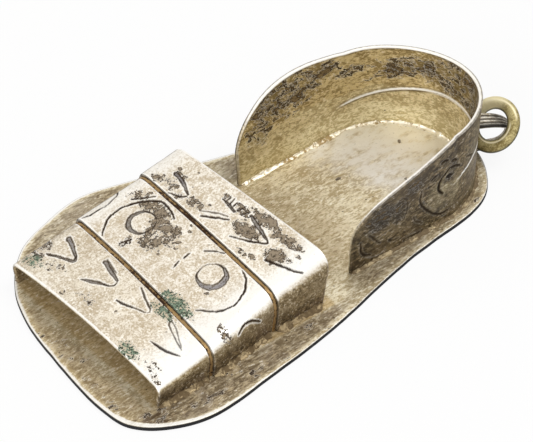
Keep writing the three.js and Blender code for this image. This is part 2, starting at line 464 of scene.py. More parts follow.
@dataclass
class Skin:
    """A mesh in the making: its points in millimetres, its faces and its named point values."""

    points: Array
    faces: Array
    values: Values

    def facing_out(self) -> "Skin":
        """Turns all faces round where the signed volume, a sum of tetrahedra, is negative."""
        a, b, c, d = (self.points[self.faces[:, k]] for k in range(4))
        volume = np.sum(a * np.cross(b, c)) + np.sum(a * np.cross(c, d))
        return self if volume > 0 else Skin(self.points, self.faces[:, [1, 0, 3, 2]], self.values)

    def build(self, name: str, body: Body, slot: Slot, finish: "Finish", replaced: str = "") -> None:
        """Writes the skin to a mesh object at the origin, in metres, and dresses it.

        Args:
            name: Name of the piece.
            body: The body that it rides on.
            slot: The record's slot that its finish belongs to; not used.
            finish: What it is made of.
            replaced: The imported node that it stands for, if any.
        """
        mesh = bpy.data.meshes.new(name)
        faces = np.asarray(self.facing_out().faces, np.int32)
        flat = faces[:, 2] == faces[:, 3]
        mesh.vertices.add(len(self.points))
        mesh.vertices.foreach_set("co", (self.points * MM).astype(np.float32).ravel())
        sides = np.where(flat, 3, 4)
        mesh.loops.add(int(sides.sum()))
        keep = np.ones(faces.shape, bool)
        keep[flat, 3] = False
        mesh.loops.foreach_set("vertex_index", faces[keep])
        mesh.polygons.add(len(faces))
        starts = np.cumsum(sides) - sides
        mesh.polygons.foreach_set("loop_start", starts.astype(np.int32))
        mesh.update(calc_edges=True)
        mesh.polygons.foreach_set("use_smooth", np.ones(len(faces), bool))
        for value_name, numbers in self.values.items():
            layer = mesh.attributes.new(value_name, "FLOAT", "POINT")
            layer.data.foreach_set("value", numbers.astype(np.float32))
        if mesh.validate():
            LOG.warning("%s had faces that Blender mended", name)
        mesh.materials.append(finish.material())
        piece = add_object(name, mesh)
        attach(piece, body.value)
        if replaced:
            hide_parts(replaced)
        LOG.info("%s: %d faces", name, len(faces))


def grid_quads(rows: int, columns: int, wrap_rows: bool = False, wrap_columns: bool = False) -> Array:
    """Quads of a grid whose point (row, column) has the number row × columns + column.

    Args:
        rows: Points along the first direction.
        columns: Points along the second direction.
        wrap_rows: Whether the last row joins the first.
        wrap_columns: Whether the last column joins the first.

    Returns:
        Faces as (n, 4), turned along rows × columns.
    """
    i = np.arange(rows if wrap_rows else rows - 1)[:, None]
    j = np.arange(columns if wrap_columns else columns - 1)[None, :]
    i2, j2 = (i + 1) % rows, (j + 1) % columns
    corners = (i * columns + j, i2 * columns + j, i2 * columns + j2, i * columns + j2)
    return np.stack(np.broadcast_arrays(*corners)).reshape(4, -1).T


def sheet_skin(outer: Array, inner: Array, outer_values: Values, inner_values: Values) -> Skin:
    """Closed sheet between two grids, joined along their four sides by flat edge faces.

    Args:
        outer: Outer face, as (rows, columns, 3), with rows × columns pointing outwards.
        inner: Inner face, of the same shape.
        outer_values: Named values of the outer face's points.
        inner_values: Named values of the inner face's points.

    Returns:
        The sheet as a skin.
    """
    rows, columns = outer.shape[:2]
    count = rows * columns
    index = np.arange(count).reshape(rows, columns)
    around = np.concatenate([index[0, :-1], index[:-1, -1], index[-1, :0:-1], index[:0:-1, 0]])
    following = np.roll(around, -1)
    faces = grid_quads(rows, columns)
    edge = np.stack([around, following, following + count, around + count], axis=1)
    blank = np.zeros(count)
    sides = (outer_values, inner_values)
    names = sorted({name for side in sides for name in side})
    values = {n: np.concatenate([side.get(n, blank).ravel() for side in sides]) for n in names}
    points = np.vstack([outer.reshape(-1, 3), inner.reshape(-1, 3)])
    return Skin(points, np.vstack([faces, faces[:, ::-1] + count, edge]), values)


def tube_skin(rings: Array, values: Values) -> Skin:
    """Closed tube through rings of points, with a fan of triangles on each end.

    Args:
        rings: Rings, as (rings, points, 3), each turning anticlockwise seen from the tube's end.
        values: Named values of the rings' points.

    Returns:
        The tube as a skin.
    """
    count, around = rings.shape[:2]
    middle = np.stack([rings[0].mean(axis=0), rings[-1].mean(axis=0)])
    points = np.vstack([rings.reshape(-1, 3), middle])
    j = np.arange(around)
    k = (j + 1) % around
    first, last = count * around, count * around + 1
    start = np.stack([np.full(around, first), k, j, j], axis=1)
    end_row = (count - 1) * around
    end = np.stack([np.full(around, last), end_row + j, end_row + k, end_row + k], axis=1)
    faces = np.vstack([grid_quads(count, around, wrap_columns=True)[:, ::-1], start, end])
    filled = {n: np.concatenate([v.ravel(), [v[0].mean(), v[-1].mean()]]) for n, v in values.items()}
    return Skin(points, faces, filled)


# Finishes


class Link:
    """A node's output, with Python's operators adding Math nodes."""

    def __init__(self, finish: "Finish", node: bpy.types.Node, output: int | str) -> None:
        """Keeps the finish that the node belongs to, the node, and which output is meant."""
        self.finish = finish
        self.node = node
        self.output = output

    @property
    def socket(self) -> bpy.types.NodeSocket:
        """The output's socket."""
        return self.node.outputs[self.output]

    def _math(self, operation: str, first: "Link | float", second: "Link | float") -> "Link":
        """Adds one Math node."""
        return self.finish.node("ShaderNodeMath", {"operation": operation}, {0: first, 1: second})

    def __add__(self, other: "Link | float") -> "Link":
        """Sum."""
        return self._math("ADD", self, other)

    __radd__ = __add__

    def __mul__(self, other: "Link | float") -> "Link":
        """Product."""
        return self._math("MULTIPLY", self, other)

    def __sub__(self, other: "Link | float") -> "Link":
        """Difference."""
        return self._math("SUBTRACT", self, other)

    def __rsub__(self, other: "Link | float") -> "Link":
        """Difference, with the link taken away."""
        return self._math("SUBTRACT", other, self)

    def larger(self, other: "Link | float") -> "Link":
        """The larger of two numbers."""
        return self._math("MAXIMUM", self, other)

    def ramp(self, low: float, high: float) -> "Link":
        """Smooth step from 0 at low to 1 at high.

        Args:
            low: Where the step starts.
            high: Where the step ends.

        Returns:
            A number from 0 to 1.
        """
        settings = {"interpolation_type": "SMOOTHSTEP", "clamp": True}
        inputs = {"Value": self, "From Min": low, "From Max": high}
        return self.finish.node("ShaderNodeMapRange", settings, inputs)


Colour = Place
WHITE: Colour = (1.0, 1.0, 1.0)


def srgb(red: int, green: int, blue: int) -> Colour:
    """Linear colour of a screen colour given from 0 to 255."""
    shares = (red / 255, green / 255, blue / 255)
    return tuple(c / 12.92 if c <= 0.04045 else ((c + 0.055) / 1.055) ** 2.4 for c in shares)


class Finish:
    """Base of the finishes: a node tree that one node-making method fills."""

    name: str

    def material(self) -> bpy.types.Material:
        """The finish's material, made the first time that it is asked for."""
        made = bpy.data.materials.get(self.name)
        if made is None:
            made = bpy.data.materials.new(self.name)
            self.fill(made)
        return made

    def fill(self, owner: bpy.types.Material | bpy.types.World) -> None:
        """Empties a material's or world's node tree and adds the finish's own nodes."""
        owner.use_nodes = True
        owner.node_tree.nodes.clear()
        object.__setattr__(self, "_tree", owner.node_tree)
        self.dress()

    def dress(self) -> None:
        """Adds the nodes; each finish has its own."""
        raise NotImplementedError

    def node(self, kind: str, settings: dict, inputs: dict, output: int | str = 0) -> Link:
        """Adds a node.

        Args:
            kind: Its Blender type.
            settings: Properties, which are set before any input.
            inputs: Values or links by socket name or number.
            output: Which output to give back.

        Returns:
            That output as a link.
        """
        made = self._tree.nodes.new(kind)
        for setting, value in settings.items():
            setattr(made, setting, value)
        for socket, value in inputs.items():
            if isinstance(value, Link):
                self._tree.links.new(value.socket, made.inputs[socket])
            elif made.inputs[socket].type == "RGBA":
                made.inputs[socket].default_value = (*value, 1.0)
            else:
                made.inputs[socket].default_value = value
        return Link(self, made, output)

    def mix(self, share: Link | float, first: Link | Colour, second: Link | Colour) -> Link:
        """Colour between two colours.

        Args:
            share: 0 gives the first and 1 the second.
            first: First colour.
            second: Second colour.

        Returns:
            The mixed colour.
        """
        return self.node("ShaderNodeMix", {"data_type": "RGBA"}, {0: share, 6: first, 7: second}, 2)

    def value(self, name: str) -> Link:
        """A named value of the mesh's points."""
        return self.node("ShaderNodeAttribute", {"attribute_name": name}, {}, "Fac")

    def places(self, stretch: Place = (1.0, 1.0, 1.0)) -> Link:
        """Object coordinates in millimetres, times a stretch along each axis."""
        start = self.node("ShaderNodeTexCoord", {}, {}, "Object")
        scale = tuple(s / MM for s in stretch)
        return self.node("ShaderNodeMapping", {"vector_type": "POINT"}, {"Vector": start, "Scale": scale})

    def noise(self, where: Link, size: float, detail: float, rough: float, warp: float = 0.0) -> Link:
        """Cloudy noise with features of about the given size in millimetres.

        Args:
            where: Coordinates in millimetres.
            size: Size of a feature.
            detail: Layers of finer noise.
            rough: Weight of the finer layers.
            warp: How far the noise is pushed about by itself.

        Returns:
            A number around 0.5.
        """
        inputs = {"Vector": where, "Scale": 1.0 / size, "Detail": detail, "Roughness": rough}
        return self.node("ShaderNodeTexNoise", {"noise_dimensions": "3D"}, {**inputs, "Distortion": warp})

    def pits(self, where: Link, size: float, share: float) -> Link:
        """Small round spots, one in some cells of a Voronoi pattern.

        Args:
            where: Coordinates in millimetres.
            size: Size of a cell.
            share: Radius of a spot, as a share of its cell.

        Returns:
            1 in a spot and 0 elsewhere.
        """
        inputs = {"Vector": where, "Scale": 1.0 / size, "Randomness": 1.0}
        return self.node("ShaderNodeTexVoronoi", {}, inputs, "Distance").ramp(share, share * 0.55)

    def seen(self) -> Link:
        """1 for camera, glossy and transmission rays, and 0 for others."""
        rays = [f"Is {kind} Ray" for kind in ("Camera", "Glossy", "Transmission")]
        camera, glossy, through = (self.node("ShaderNodeLightPath", {}, {}, ray) for ray in rays)
        return camera.larger(glossy).larger(through)

    def end(self, shader: Link, kind: str = "ShaderNodeOutputMaterial") -> None:
        """Ends the tree in a shader."""
        self.node(kind, {}, {"Surface": shader})

    def finish_with(
        self, colour: Link, metallic: Link | float, roughness: Link | float, height: Link, depth: float
    ) -> None:
        """Ends the material in a metal shader with bump.

        Args:
            colour: Base colour.
            metallic: How metallic the surface is.
            roughness: How rough the surface is.
            height: Fine relief from 0 to 1.
            depth: What the relief's full height stands for, in millimetres.
        """
        relief = {"Strength": 1.0, "Distance": depth * MM, "Height": height}
        bump = self.node("ShaderNodeBump", {}, relief, "Normal")
        inputs = {"Base Color": colour, "Metallic": metallic, "Roughness": roughness, "Normal": bump}
        self.end(self.node("ShaderNodeBsdfPrincipled", {}, {**inputs, "Specular IOR Level": 0.12}))


@dataclass(frozen=True)
class TarnishedSilver(Finish):
    """Silver alloy sheet: a clean, a warm and a grimy pair of tones, blended by the mesh's values.

    Cuts, bare metal, burrs with a painted highlight, stains, green, painted highlights, and near-black
    painted shade and patina lie over them where the mesh says so. Stains and green are broken up by
    noise. The warm and grimy tones are tarnish in some places and painted shade in others, and the
    cut colour is also laid on as painted shade along bends, beside ridges and under rims.
    """

    name: str
    light: Colour
    deep: Colour
    warm_and_shade_light: Colour
    warm_and_shade_deep: Colour
    grime_and_shade_light: Colour
    grime_and_shade_deep: Colour
    tint: Colour = srgb(134, 118, 116)
    # Dark of cuts, pits and stain outlines, also laid on as painted shade along bends, beside ridges and
    # under rims.
    cut: Colour = srgb(44, 31, 20)
    speck: Colour = srgb(168, 138, 102)
    bare: Colour = srgb(146, 142, 144)
    stain: Colour = srgb(148, 134, 114)
    green: Colour = srgb(120, 138, 118)
    # Colour of the painted highlights, the painted glints and the painted highlight beside cut brinks.
    edge: Colour = srgb(246, 243, 236)
    # Near-black for painted shade on the sole's edge, the straps' steps and the eye, and for dark patina in
    # the counter's hollows.
    soot: Colour = srgb(34, 34, 36)
    cloud_size: float = 3.2
    patch_size: float = 0.9
    grain_size: float = 0.19
    contrast: float = 0.075
    tint_share: float = 0.5
    sparkle_share: float = 0.6
    speck_share: float = 0.4
    pit_size: float = 1.3
    pit_share: float = 0.09
    stretch: Place = (1.0, 1.0, 1.0)
    roughness: float = 0.42
    metallic: float = 0.7
    relief: float = 0.05

    def dress(self) -> None:
        """Tones by four sizes of noise, then the mesh's own values over them."""
        where, drawn = self.places(), self.places(self.stretch)
        clouds = self.noise(where, self.cloud_size, 3.0, 0.6, 0.6)
        patches = self.noise(drawn, self.patch_size, 4.0, 0.7, 0.8)
        coarse = self.noise(drawn, self.grain_size * 2.6, 3.0, 0.7, 0.5)
        grain = self.noise(drawn, self.grain_size, 2.0, 0.75)
        tone = clouds * 0.17 + patches * 0.17 + coarse * 0.26 + grain * 0.4
        tone = tone.ramp(0.5 - self.contrast, 0.5 + self.contrast)
        dirt = (patches * 0.3 + coarse * 0.4 + grain * 0.3).ramp(0.42, 0.6)
        grime_and_shade_colour = self.mix(dirt, self.grime_and_shade_deep, self.grime_and_shade_light)
        grime_and_shade_colour = self.mix(clouds.ramp(0.47, 0.6) * self.tint_share, grime_and_shade_colour, self.tint)
        # Warm and grimy tones: tarnish in some places, and painted shade on the straps' walls and on the
        # sole under the front strap in others.
        warm = self.mix(tone, self.warm_and_shade_deep, self.warm_and_shade_light)
        grime = (self.value("grime") + (patches - 0.5) * 0.9).ramp(0.1, 0.9)
        # Painted glints on the grain.
        sparkle = grain.ramp(0.56, 0.66) * coarse.ramp(0.47, 0.6) * self.sparkle_share
        colour = self.mix(tone, self.deep, self.light)
        colour = self.mix((self.value("warm") + (patches - 0.5) * 0.8).ramp(0.1, 0.9), colour, warm)
        colour = self.mix(grime, colour, grime_and_shade_colour)
        colour = self.mix(sparkle, colour, self.edge)
        pits = self.pits(where, self.pit_size, self.pit_share) * 0.7
        # Painted highlights, from the mesh's highlight value and from the brinks beside cuts.
        bright = self.value("polish").larger(self.value("burr") * 0.8)
        bright = (bright * 1.15 + (grain - 0.5) * 1.2 * bright).ramp(0.05, 0.95)
        colour = self.mix(bright, self.mix(pits, colour, self.cut), self.edge)
        specks = grain.ramp(0.54, 0.66) * patches.ramp(0.44, 0.6) * self.speck_share * (bright * -0.8 + 1)
        colour = self.mix(specks, colour, self.speck)
        window = self.value("stain").ramp(0.02, 0.35)
        noise = (coarse - 0.5) * 3.0 + (patches - 0.5) * 2.4 + (grain - 0.5) * 1.4
        broken = self.value("stain") + noise * window
        stained = broken.ramp(0.45, 0.52)
        filled = self.mix(grain.ramp(0.28, 0.42), self.cut, self.stain)
        # A painted highlight round each stain's outline.
        brink_highlight = broken.ramp(0.3, 0.4) * window * self.speck_share
        colour = self.mix(brink_highlight, colour, self.edge)
        colour = self.mix(stained, colour, self.mix(broken.ramp(0.5, 1.1), self.cut, filled))
        green_window = self.value("green").ramp(0.02, 0.3)
        noise = (coarse - 0.5) * 2.4 + (grain - 0.5) * 2.4
        greened = (self.value("green") + noise * green_window).ramp(0.42, 0.6)
        colour = self.mix(greened, colour, self.mix(grain.ramp(0.47, 0.66), self.green, self.cut))
        bare = self.mix(grain.ramp(0.34, 0.5), self.cut, self.bare)
        colour = self.mix(self.value("bare"), colour, bare)
        # Last, the dark of cuts together with the painted shade laid in with them, then near-black painted
        # shade and patina.
        colour = self.mix(self.value("cut"), colour, self.cut)
        colour = self.mix(self.value("soot"), colour, self.soot)
        dull = (stained * 0.8).larger(greened).larger(self.value("warm") * 0.6)
        dull = dull.larger(self.value("cut") * 1.15).larger(self.value("soot")).larger(grime * 0.45)
        roughness = self.roughness + (grain - 0.5) * 0.3 + dull * 0.25 - bright * 0.1
        relief = grain * 0.4 + coarse * 0.6 - pits * 0.5 - stained * 0.25
        self.finish_with(colour, self.metallic - dull * 0.55, roughness, relief, self.relief)


@dataclass(frozen=True)
class Solder(Finish):
    """Frosty pale solder, speckled with brown."""

    name: str
    light: Colour
    dark: Colour
    level: float
    roughness: float = 0.45

    def dress(self) -> None:
        """Pale metal with brown in the hollows of a lumpy noise."""
        where = self.places()
        lumps = self.noise(where, 0.35, 4.0, 0.65, 0.5)
        dirt = (lumps + (self.value("shade") - 0.5) * 0.5).ramp(self.level, self.level + 0.16)
        colour = self.mix(dirt, self.light, self.dark)
        self.finish_with(colour, 0.7 - dirt * 0.3, self.roughness + dirt * 0.2, lumps, 0.05)


@dataclass(frozen=True)
class OliveBrass(Finish):
    """Smooth brass wire, olive where it is dull, with painted highlights along its ridges."""

    name: str
    light: Colour = srgb(204, 190, 138)
    dull: Colour = srgb(134, 118, 72)
    # Colours of the painted light on the far side, the painted highlight on the ridges and the painted
    # shade at the sides.
    pale: Colour = srgb(250, 238, 194)
    ridge: Colour = srgb(255, 244, 208)
    shade: Colour = srgb(66, 64, 42)

    def dress(self) -> None:
        """Slow clouds between two tones, a painted highlight, painted light on the far side and painted
        shade below.
        """
        where = self.places()
        clouds = self.noise(where, 1.0, 3.0, 0.6, 0.4)
        fine = self.noise(where, 0.16, 3.0, 0.7)
        tone = (clouds * 0.45 + fine * 0.55).ramp(0.4, 0.6)
        colour = self.mix(tone, self.light, self.dull)
        colour = self.mix(self.value("pale") * (clouds * 0.8 + 0.55), colour, self.pale)
        colour = self.mix((self.value("ridge") + (fine - 0.5) * 0.6).ramp(0.2, 0.85), colour, self.ridge)
        colour = self.mix(self.value("shade") * (fine * 0.4 + 0.75), colour, self.shade)
        self.finish_with(colour, 0.3, 0.44 + fine * 0.14, fine, 0.02)


@dataclass(frozen=True)
class Surroundings(Finish):
    """White where the camera or gloss looks, and a plain level of light elsewhere."""

    name: str
    level: float
    tone: Colour = (1.0, 0.985, 0.96)

    def dress(self) -> None:
        """Two backgrounds, mixed by the kind of ray."""
        light = self.node("ShaderNodeBackground", {}, {"Color": self.tone, "Strength": self.level})
        white = self.node("ShaderNodeBackground", {}, {"Color": WHITE, "Strength": 1.0})
        mixed = self.node("ShaderNodeMixShader", {}, {0: self.seen(), 1: light, 2: white})
        self.end(mixed, "ShaderNodeOutputWorld")


@dataclass(frozen=True)
class FloorPaint(Finish):
    """Pale paint that shows nearly white where it is looked at and still keeps a light shadow."""

    name: str
    pale: Colour = (0.86, 0.86, 0.86)
    glow_share: float = 0.9

    def dress(self) -> None:
        """Matt paint and a white glow, mixed by the kind of ray."""
        matt = self.node("ShaderNodeBsdfDiffuse", {}, {"Color": self.pale})
        glow = self.node("ShaderNodeEmission", {}, {"Color": WHITE, "Strength": 1.0})
        self.end(self.node("ShaderNodeMixShader", {}, {0: self.seen() * self.glow_share, 1: matt, 2: glow}))


STRAP_SILVER = TarnishedSilver(
    "strap_silver",
    light=srgb(246, 240, 228),
    deep=srgb(194, 178, 152),
    warm_and_shade_light=srgb(208, 192, 154),
    warm_and_shade_deep=srgb(136, 114, 76),
    grime_and_shade_light=srgb(140, 122, 90),
    grime_and_shade_deep=srgb(60, 48, 34),
    tint=srgb(104, 88, 74),
)
SOLE_SILVER = TarnishedSilver(
    "sole_silver",
    light=srgb(238, 228, 200),
    deep=srgb(184, 166, 130),
    warm_and_shade_light=srgb(204, 180, 134),
    warm_and_shade_deep=srgb(164, 138, 92),
    grime_and_shade_light=srgb(188, 170, 136),
    grime_and_shade_deep=srgb(88, 72, 54),
    stretch=(0.4, 1.0, 1.0),
    grain_size=0.17,
    contrast=0.055,
    tint=srgb(136, 120, 104),
    tint_share=0.35,
    metallic=0.5,
)
COUNTER_SILVER = TarnishedSilver(
    "counter_silver",
    light=srgb(236, 224, 184),
    deep=srgb(186, 168, 122),
    warm_and_shade_light=srgb(202, 180, 128),
    warm_and_shade_deep=srgb(136, 115, 72),
    grime_and_shade_light=srgb(130, 114, 84),
    grime_and_shade_deep=srgb(48, 38, 24),
    tint=srgb(84, 70, 50),
    cut=srgb(44, 34, 22),
    stain=srgb(118, 98, 66),
    stretch=(0.5, 0.5, 1.0),
    sparkle_share=0.3,
    speck_share=0.3,
    contrast=0.055,
    metallic=0.5,
)
EYE_SILVER = TarnishedSilver(
    "eye_silver",
    light=srgb(190, 184, 172),
    deep=srgb(140, 130, 112),
    warm_and_shade_light=srgb(130, 118, 98),
    warm_and_shade_deep=srgb(90, 78, 60),
    grime_and_shade_light=srgb(132, 122, 104),
    grime_and_shade_deep=srgb(66, 58, 46),
    cloud_size=1.2,
)
PALE_SOLDER = Solder("pale_solder", srgb(246, 238, 216), srgb(178, 154, 110), 0.47, 0.4)
DIM_SOLDER = Solder("dim_solder", srgb(160, 144, 114), srgb(118, 102, 78), 0.42)
FOOT_SOLDER = Solder("foot_solder", srgb(158, 140, 108), srgb(110, 93, 68), 0.4)
JOINT_SOLDER = Solder("joint_solder", srgb(156, 128, 86), srgb(58, 40, 26), 0.46)
BRASS = OliveBrass("olive_brass")


# Pieces


class Part:
    """Base of the pieces: each says its name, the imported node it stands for, its slot and its finish."""

    name: str
    node: str
    slot: Slot
    finish: Finish
    body = Body.PENDANT

    def skin(self) -> Skin:
        """The piece's surface.

        Returns:
            A skin in millimetres.
        """
        raise NotImplementedError

    def build(self) -> None:
        """Makes the piece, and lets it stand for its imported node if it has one."""
        self.skin().build(self.name, self.body, self.slot, self.finish, self.node)


@dataclass
class Sole(Part):
    """Hand-cut flat plate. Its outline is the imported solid's, with a slight waviness.

    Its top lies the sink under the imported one. The lower rows are heights and insets of its rim.
    """

    name, node, slot, finish = "sole", "sole_plate", Slot.SILVER, SOLE_SILVER
    toe_x: float = -25.0
    heel_x: float = 25.0
    near_edge: float = 10.65
    far_edge: float = 11.2
    heel_edge: float = 8.4
    around: int = 640
    rings: int = 120
    edge_radius: float = 0.12
    waviness: float = 0.05
    sink: float = 0.012
    lower_rows: tuple[Pair, ...] = ((0.08, 0.0), (0.02, 0.02), (0.0, 0.08))

    def outline(self) -> Array:
        """Closed outline: centripetal Catmull-Rom cubics through the plate's own points.

        Returns:
            Points along the outline, as (n, 2), evenly spaced.
        """
        toe, heel = self.toe_x, self.heel_x
        near, far, back = -self.near_edge, self.far_edge, self.heel_edge
        given = np.array([
            (toe, near + 3.2), (toe + 0.6, near + 0.1), (toe + 2.6, near - 2.05),
            (toe + 6.8, near - 3.8), (toe + 14.2, near - 3.35), (toe + 22.9, near - 2.15),
            (heel - 17.3, -back - 2.2), (heel - 12.4, -back - 1.45), (heel - 6.8, -back - 0.8),
            (heel - 3.9, -back + 0.4), (heel - 2.1, -back + 2.2), (heel - 0.6, -back + 5),
            (heel, -back + 8), (heel - 0.5, back - 4.6), (heel - 2.1, back - 1.8),
            (heel - 4.6, back), (heel - 8.5, back + 1.3), (heel - 14, back + 2.4),
            (heel - 19.4, back + 4), (toe + 19.8, far + 4.6), (toe + 15.8, far + 5.5),
            (toe + 11.7, far + 4.8), (toe + 7.1, far + 3.05), (toe + 3.4, far - 0.85),
            (toe + 1.5, far - 5.45), (toe + 0.4, near + 9.2),
        ])  # fmt: skip
        p0, p1, p2, p3 = (np.roll(given, shift, axis=0)[:, None, :] for shift in (1, 0, -1, -2))
        sides = ((p0, p1), (p1, p2), (p2, p3))
        d0, d1, d2 = (np.sqrt(np.linalg.norm(b - a, axis=2, keepdims=True)) for a, b in sides)
        m1 = ((p1 - p0) / d0 - (p2 - p0) / (d0 + d1) + (p2 - p1) / d1) * d1
        m2 = ((p2 - p1) / d1 - (p3 - p1) / (d1 + d2) + (p3 - p2) / d2) * d1
        t = np.linspace(0, 1, 40, endpoint=False)[None, :, None]
        cubic = p1 + m1 * t + (3 * (p2 - p1) - 2 * m1 - m2) * t**2 + (2 * (p1 - p2) + m1 + m2) * t**3
        line = cubic.reshape(-1, 2)
        closed = np.vstack([line, line[:1]])
        run = np.concatenate([[0], np.cumsum(np.linalg.norm(np.diff(closed, axis=0), axis=1))])
        even = np.linspace(0, run[-1], self.around, endpoint=False)
        return np.stack([np.interp(even, run, closed[:, k]) for k in (0, 1)], axis=1)

    def skin(self) -> Skin:
        """Rings from the middle to the outline, a rounded rim, and a flat underside."""
        rim = self.outline()
        ahead = np.roll(rim, -1, axis=0) - np.roll(rim, 1, axis=0)
        ahead = ahead / np.linalg.norm(ahead, axis=1, keepdims=True)
        outwards = np.stack([ahead[:, 1], -ahead[:, 0]], axis=1)
        turn = np.linspace(0, 2 * math.pi, self.around, endpoint=False)
        wave = layered_noise(12 * np.cos(turn), 12 * np.sin(turn), 1.6, 31)
        rim = rim - outwards * (self.waviness * (1 + wave))[:, None]
        middle = np.array([1.0, 0.0])
        share = np.linspace(0, 1, self.rings + 1)[1:] ** 0.75
        inside = rim - outwards * self.edge_radius
        top = middle + (inside - middle)[None] * share[:, None, None]
        bend = np.linspace(0, math.pi / 2, 5)[1:]
        edge = inside[None] + outwards[None] * (self.edge_radius * np.sin(bend))[:, None, None]
        flat = np.concatenate([top, edge])
        x, y = flat[..., 0], flat[..., 1]
        to_rim = np.linalg.norm(inside[None] - top, axis=2) + self.edge_radius
        away = np.concatenate([to_rim, np.zeros(edge.shape[:2])])
        dip = 0.03 * (1 + layered_noise(x, y, 5.0, 11)) * smooth(0.2, 2.0, away)
        dip += 0.02 * (1 + layered_noise(x, y, 1.1, 13)) * smooth(0.3, 1.2, away)
        dip += 0.045 * smooth(1.1, 0.1, away)
        drop = np.concatenate([np.zeros(self.rings), self.edge_radius * (1 - np.cos(bend))])
        upper = np.dstack([x, y, SOLE_TOP - dip - drop[:, None] - self.sink])
        lower = np.stack([np.insert(rim - outwards * w, 2, low, axis=1) for low, w in self.lower_rows])
        rows = np.concatenate([upper, lower])
        count = len(rows) * self.around
        points = np.vstack([rows.reshape(-1, 3), [[*middle, upper[0, :, 2].mean()], [*middle, 0.0]]])
        j = np.arange(self.around)
        k = (j + 1) % self.around
        top_fan = np.stack([np.full(self.around, count), j, k, k], axis=1)
        end = (len(rows) - 1) * self.around
        under_fan = np.stack([np.full(self.around, count + 1), end + k, end + j, end + j], axis=1)
        faces = np.vstack([grid_quads(len(rows), self.around, wrap_columns=True), top_fan, under_fan])
        well_inside = away.max()
        away = np.concatenate([away.ravel(), np.zeros(lower.size // 3), [well_inside, well_inside]])
        return Skin(points, faces, self.values(points, away))

    def values(self, points: Array, away: Array) -> Values:
        """Painted highlights, grime, warm tone, painted shade and stains over the plate.

        Args:
            points: The plate's points.
            away: Distance of each from the outline.

        Returns:
            Named values.
        """
        x, y, z = points.T
        rough = layered_noise(x, y, 1.4, 21)
        upper = np.maximum(smooth(0.4, 0.45, z), (away > 0.11) * (z > 0.2))
        wide = 0.26 + 0.24 * smooth(9.0, 3.0, np.hypot(x + 20.5, y + 11.5))
        wide = wide - 0.14 * smooth(-12.0, -8.0, x) * smooth(0.0, -4.0, y)
        # Painted highlight along the top of the rounded rim, widest near the toe's near corner.
        rim = smooth(wide + 0.08, wide - 0.06, away + 0.08 * rough) * upper
        toe = smooth(-20.6, -22.4, x)
        heel = band(x, 0.0, 2.0, 4.0, 9.5) * smooth(8.6, 8.0, np.abs(y))
        beside = smooth(10.2, 10.9, -y) * smooth(3.0, -1.0, x)
        flange = smooth(8.3, 9.0, np.abs(y)) * smooth(0.0, 5.0, x)
        back = smooth(8.2, 9.2, np.hypot(x - HEEL_CENTRE_X, y)) * smooth(12.0, 16.0, x)
        far = smooth(11.3, 11.9, y) * smooth(4.0, 0.0, x)
        grime = 0.5 * toe + 0.72 * beside + 0.62 * np.maximum(flange, back) + 0.6 * far
        grime = grime * smooth(0.1, 0.9, away) + 0.12 * np.clip(rough, 0, 1)
        grime = grime + 0.05 * back * smooth(0.3, 0.8, away)
        # Painted shade on the plate beneath the front strap.
        under = band(x, -21.6, -20.8, -0.4, 0.4) * band(y, -10.9, -10.3, 10.8, 11.4)
        middle = smooth(7.0, 2.0, np.hypot((x - 8.0) * 0.8, y + 2.5))
        spots = [
            Blot(11.5, 2.7, 0.36, 0.2, 10, 1.0, 0.1), Blot(5.2, 7.8, 0.2, 0.16),
            Blot(16.5, -1.5, 0.2, 0.14), Blot(9.6, 0.6, 0.18, 0.18, 0, 0.8),
            Blot(14.6, -3.2, 0.2, 0.12, 0, 0.8), Blot(19.6, 3.0, 0.3, 0.16, 60, 0.8),
        ]  # fmt: skip
        streaks = layered_noise(0.5 * x, y, 0.6, 23)
        within = smooth(8.3, 7.7, np.hypot(np.maximum(x - HEEL_CENTRE_X, 0.0), y))
        # Painted highlights on the far side near the toe and inside the heel.
        far_shine = 0.15 * smooth(10.2, 11.2, y) * band(x, -18.0, -15.0, -9.0, -7.0)
        back_shine = far_shine + 0.7 * smooth(10.0, 17.0, x + 0.4 * y) * (1 + 0.9 * streaks) * within
        stain = blot_cover(spots, x, y) + (0.28 * (toe + beside) + 0.25 * back) * smooth(-0.4, 0.5, rough)
        return {
            "polish": np.clip(rim * (0.85 + 0.3 * rough) + back_shine * upper, 0, 1),
            "grime": np.clip(grime + 0.1 * middle + 0.25 * heel, 0, 1) * (1 - rim),
            "warm": np.clip(0.7 * under + 0.2 * middle + 0.5 * toe + 0.3 * heel, 0, 1) * (1 - rim),
            "stain": np.clip(stain, 0, 1) * upper * (1 - rim),
            # Near-black painted shade on the plate's edge and underside.
            "soot": 1 - upper,
        }


@dataclass(frozen=True)
class StrapEdge:
    """One edge across the foot: feet, heights over the sole, outward lean, crown and bend."""

    skew: float
    near_foot: float
    far_foot: float
    near_height: float
    far_height: float
    lean: float
    crown: float
    bend: float

    def numbers(self) -> Array:
        """The eight sizes as an array."""
        return np.array(astuple(self))


FRONT_EDGE = StrapEdge(0.0, 10.65, 10.95, 2.4, 2.2, 0.5, 0.9, 1.1)
FIRST_JOINT = StrapEdge(0.06, 10.6, 11.2, 3.2, 3.3, 0.3, 0.5, 1.5)
SECOND_JOINT = StrapEdge(0.04, 9.7, 11.0, 4.5, 4.8, 0.6, 0.25, 2.0)
REAR_EDGE = StrapEdge(-0.02, 9.75, 11.0, 6.4, 5.6, 1.1, 0.2, 2.4)
STRETCHES = (2.6, 2.6, 19.5, 2.6, 2.6)


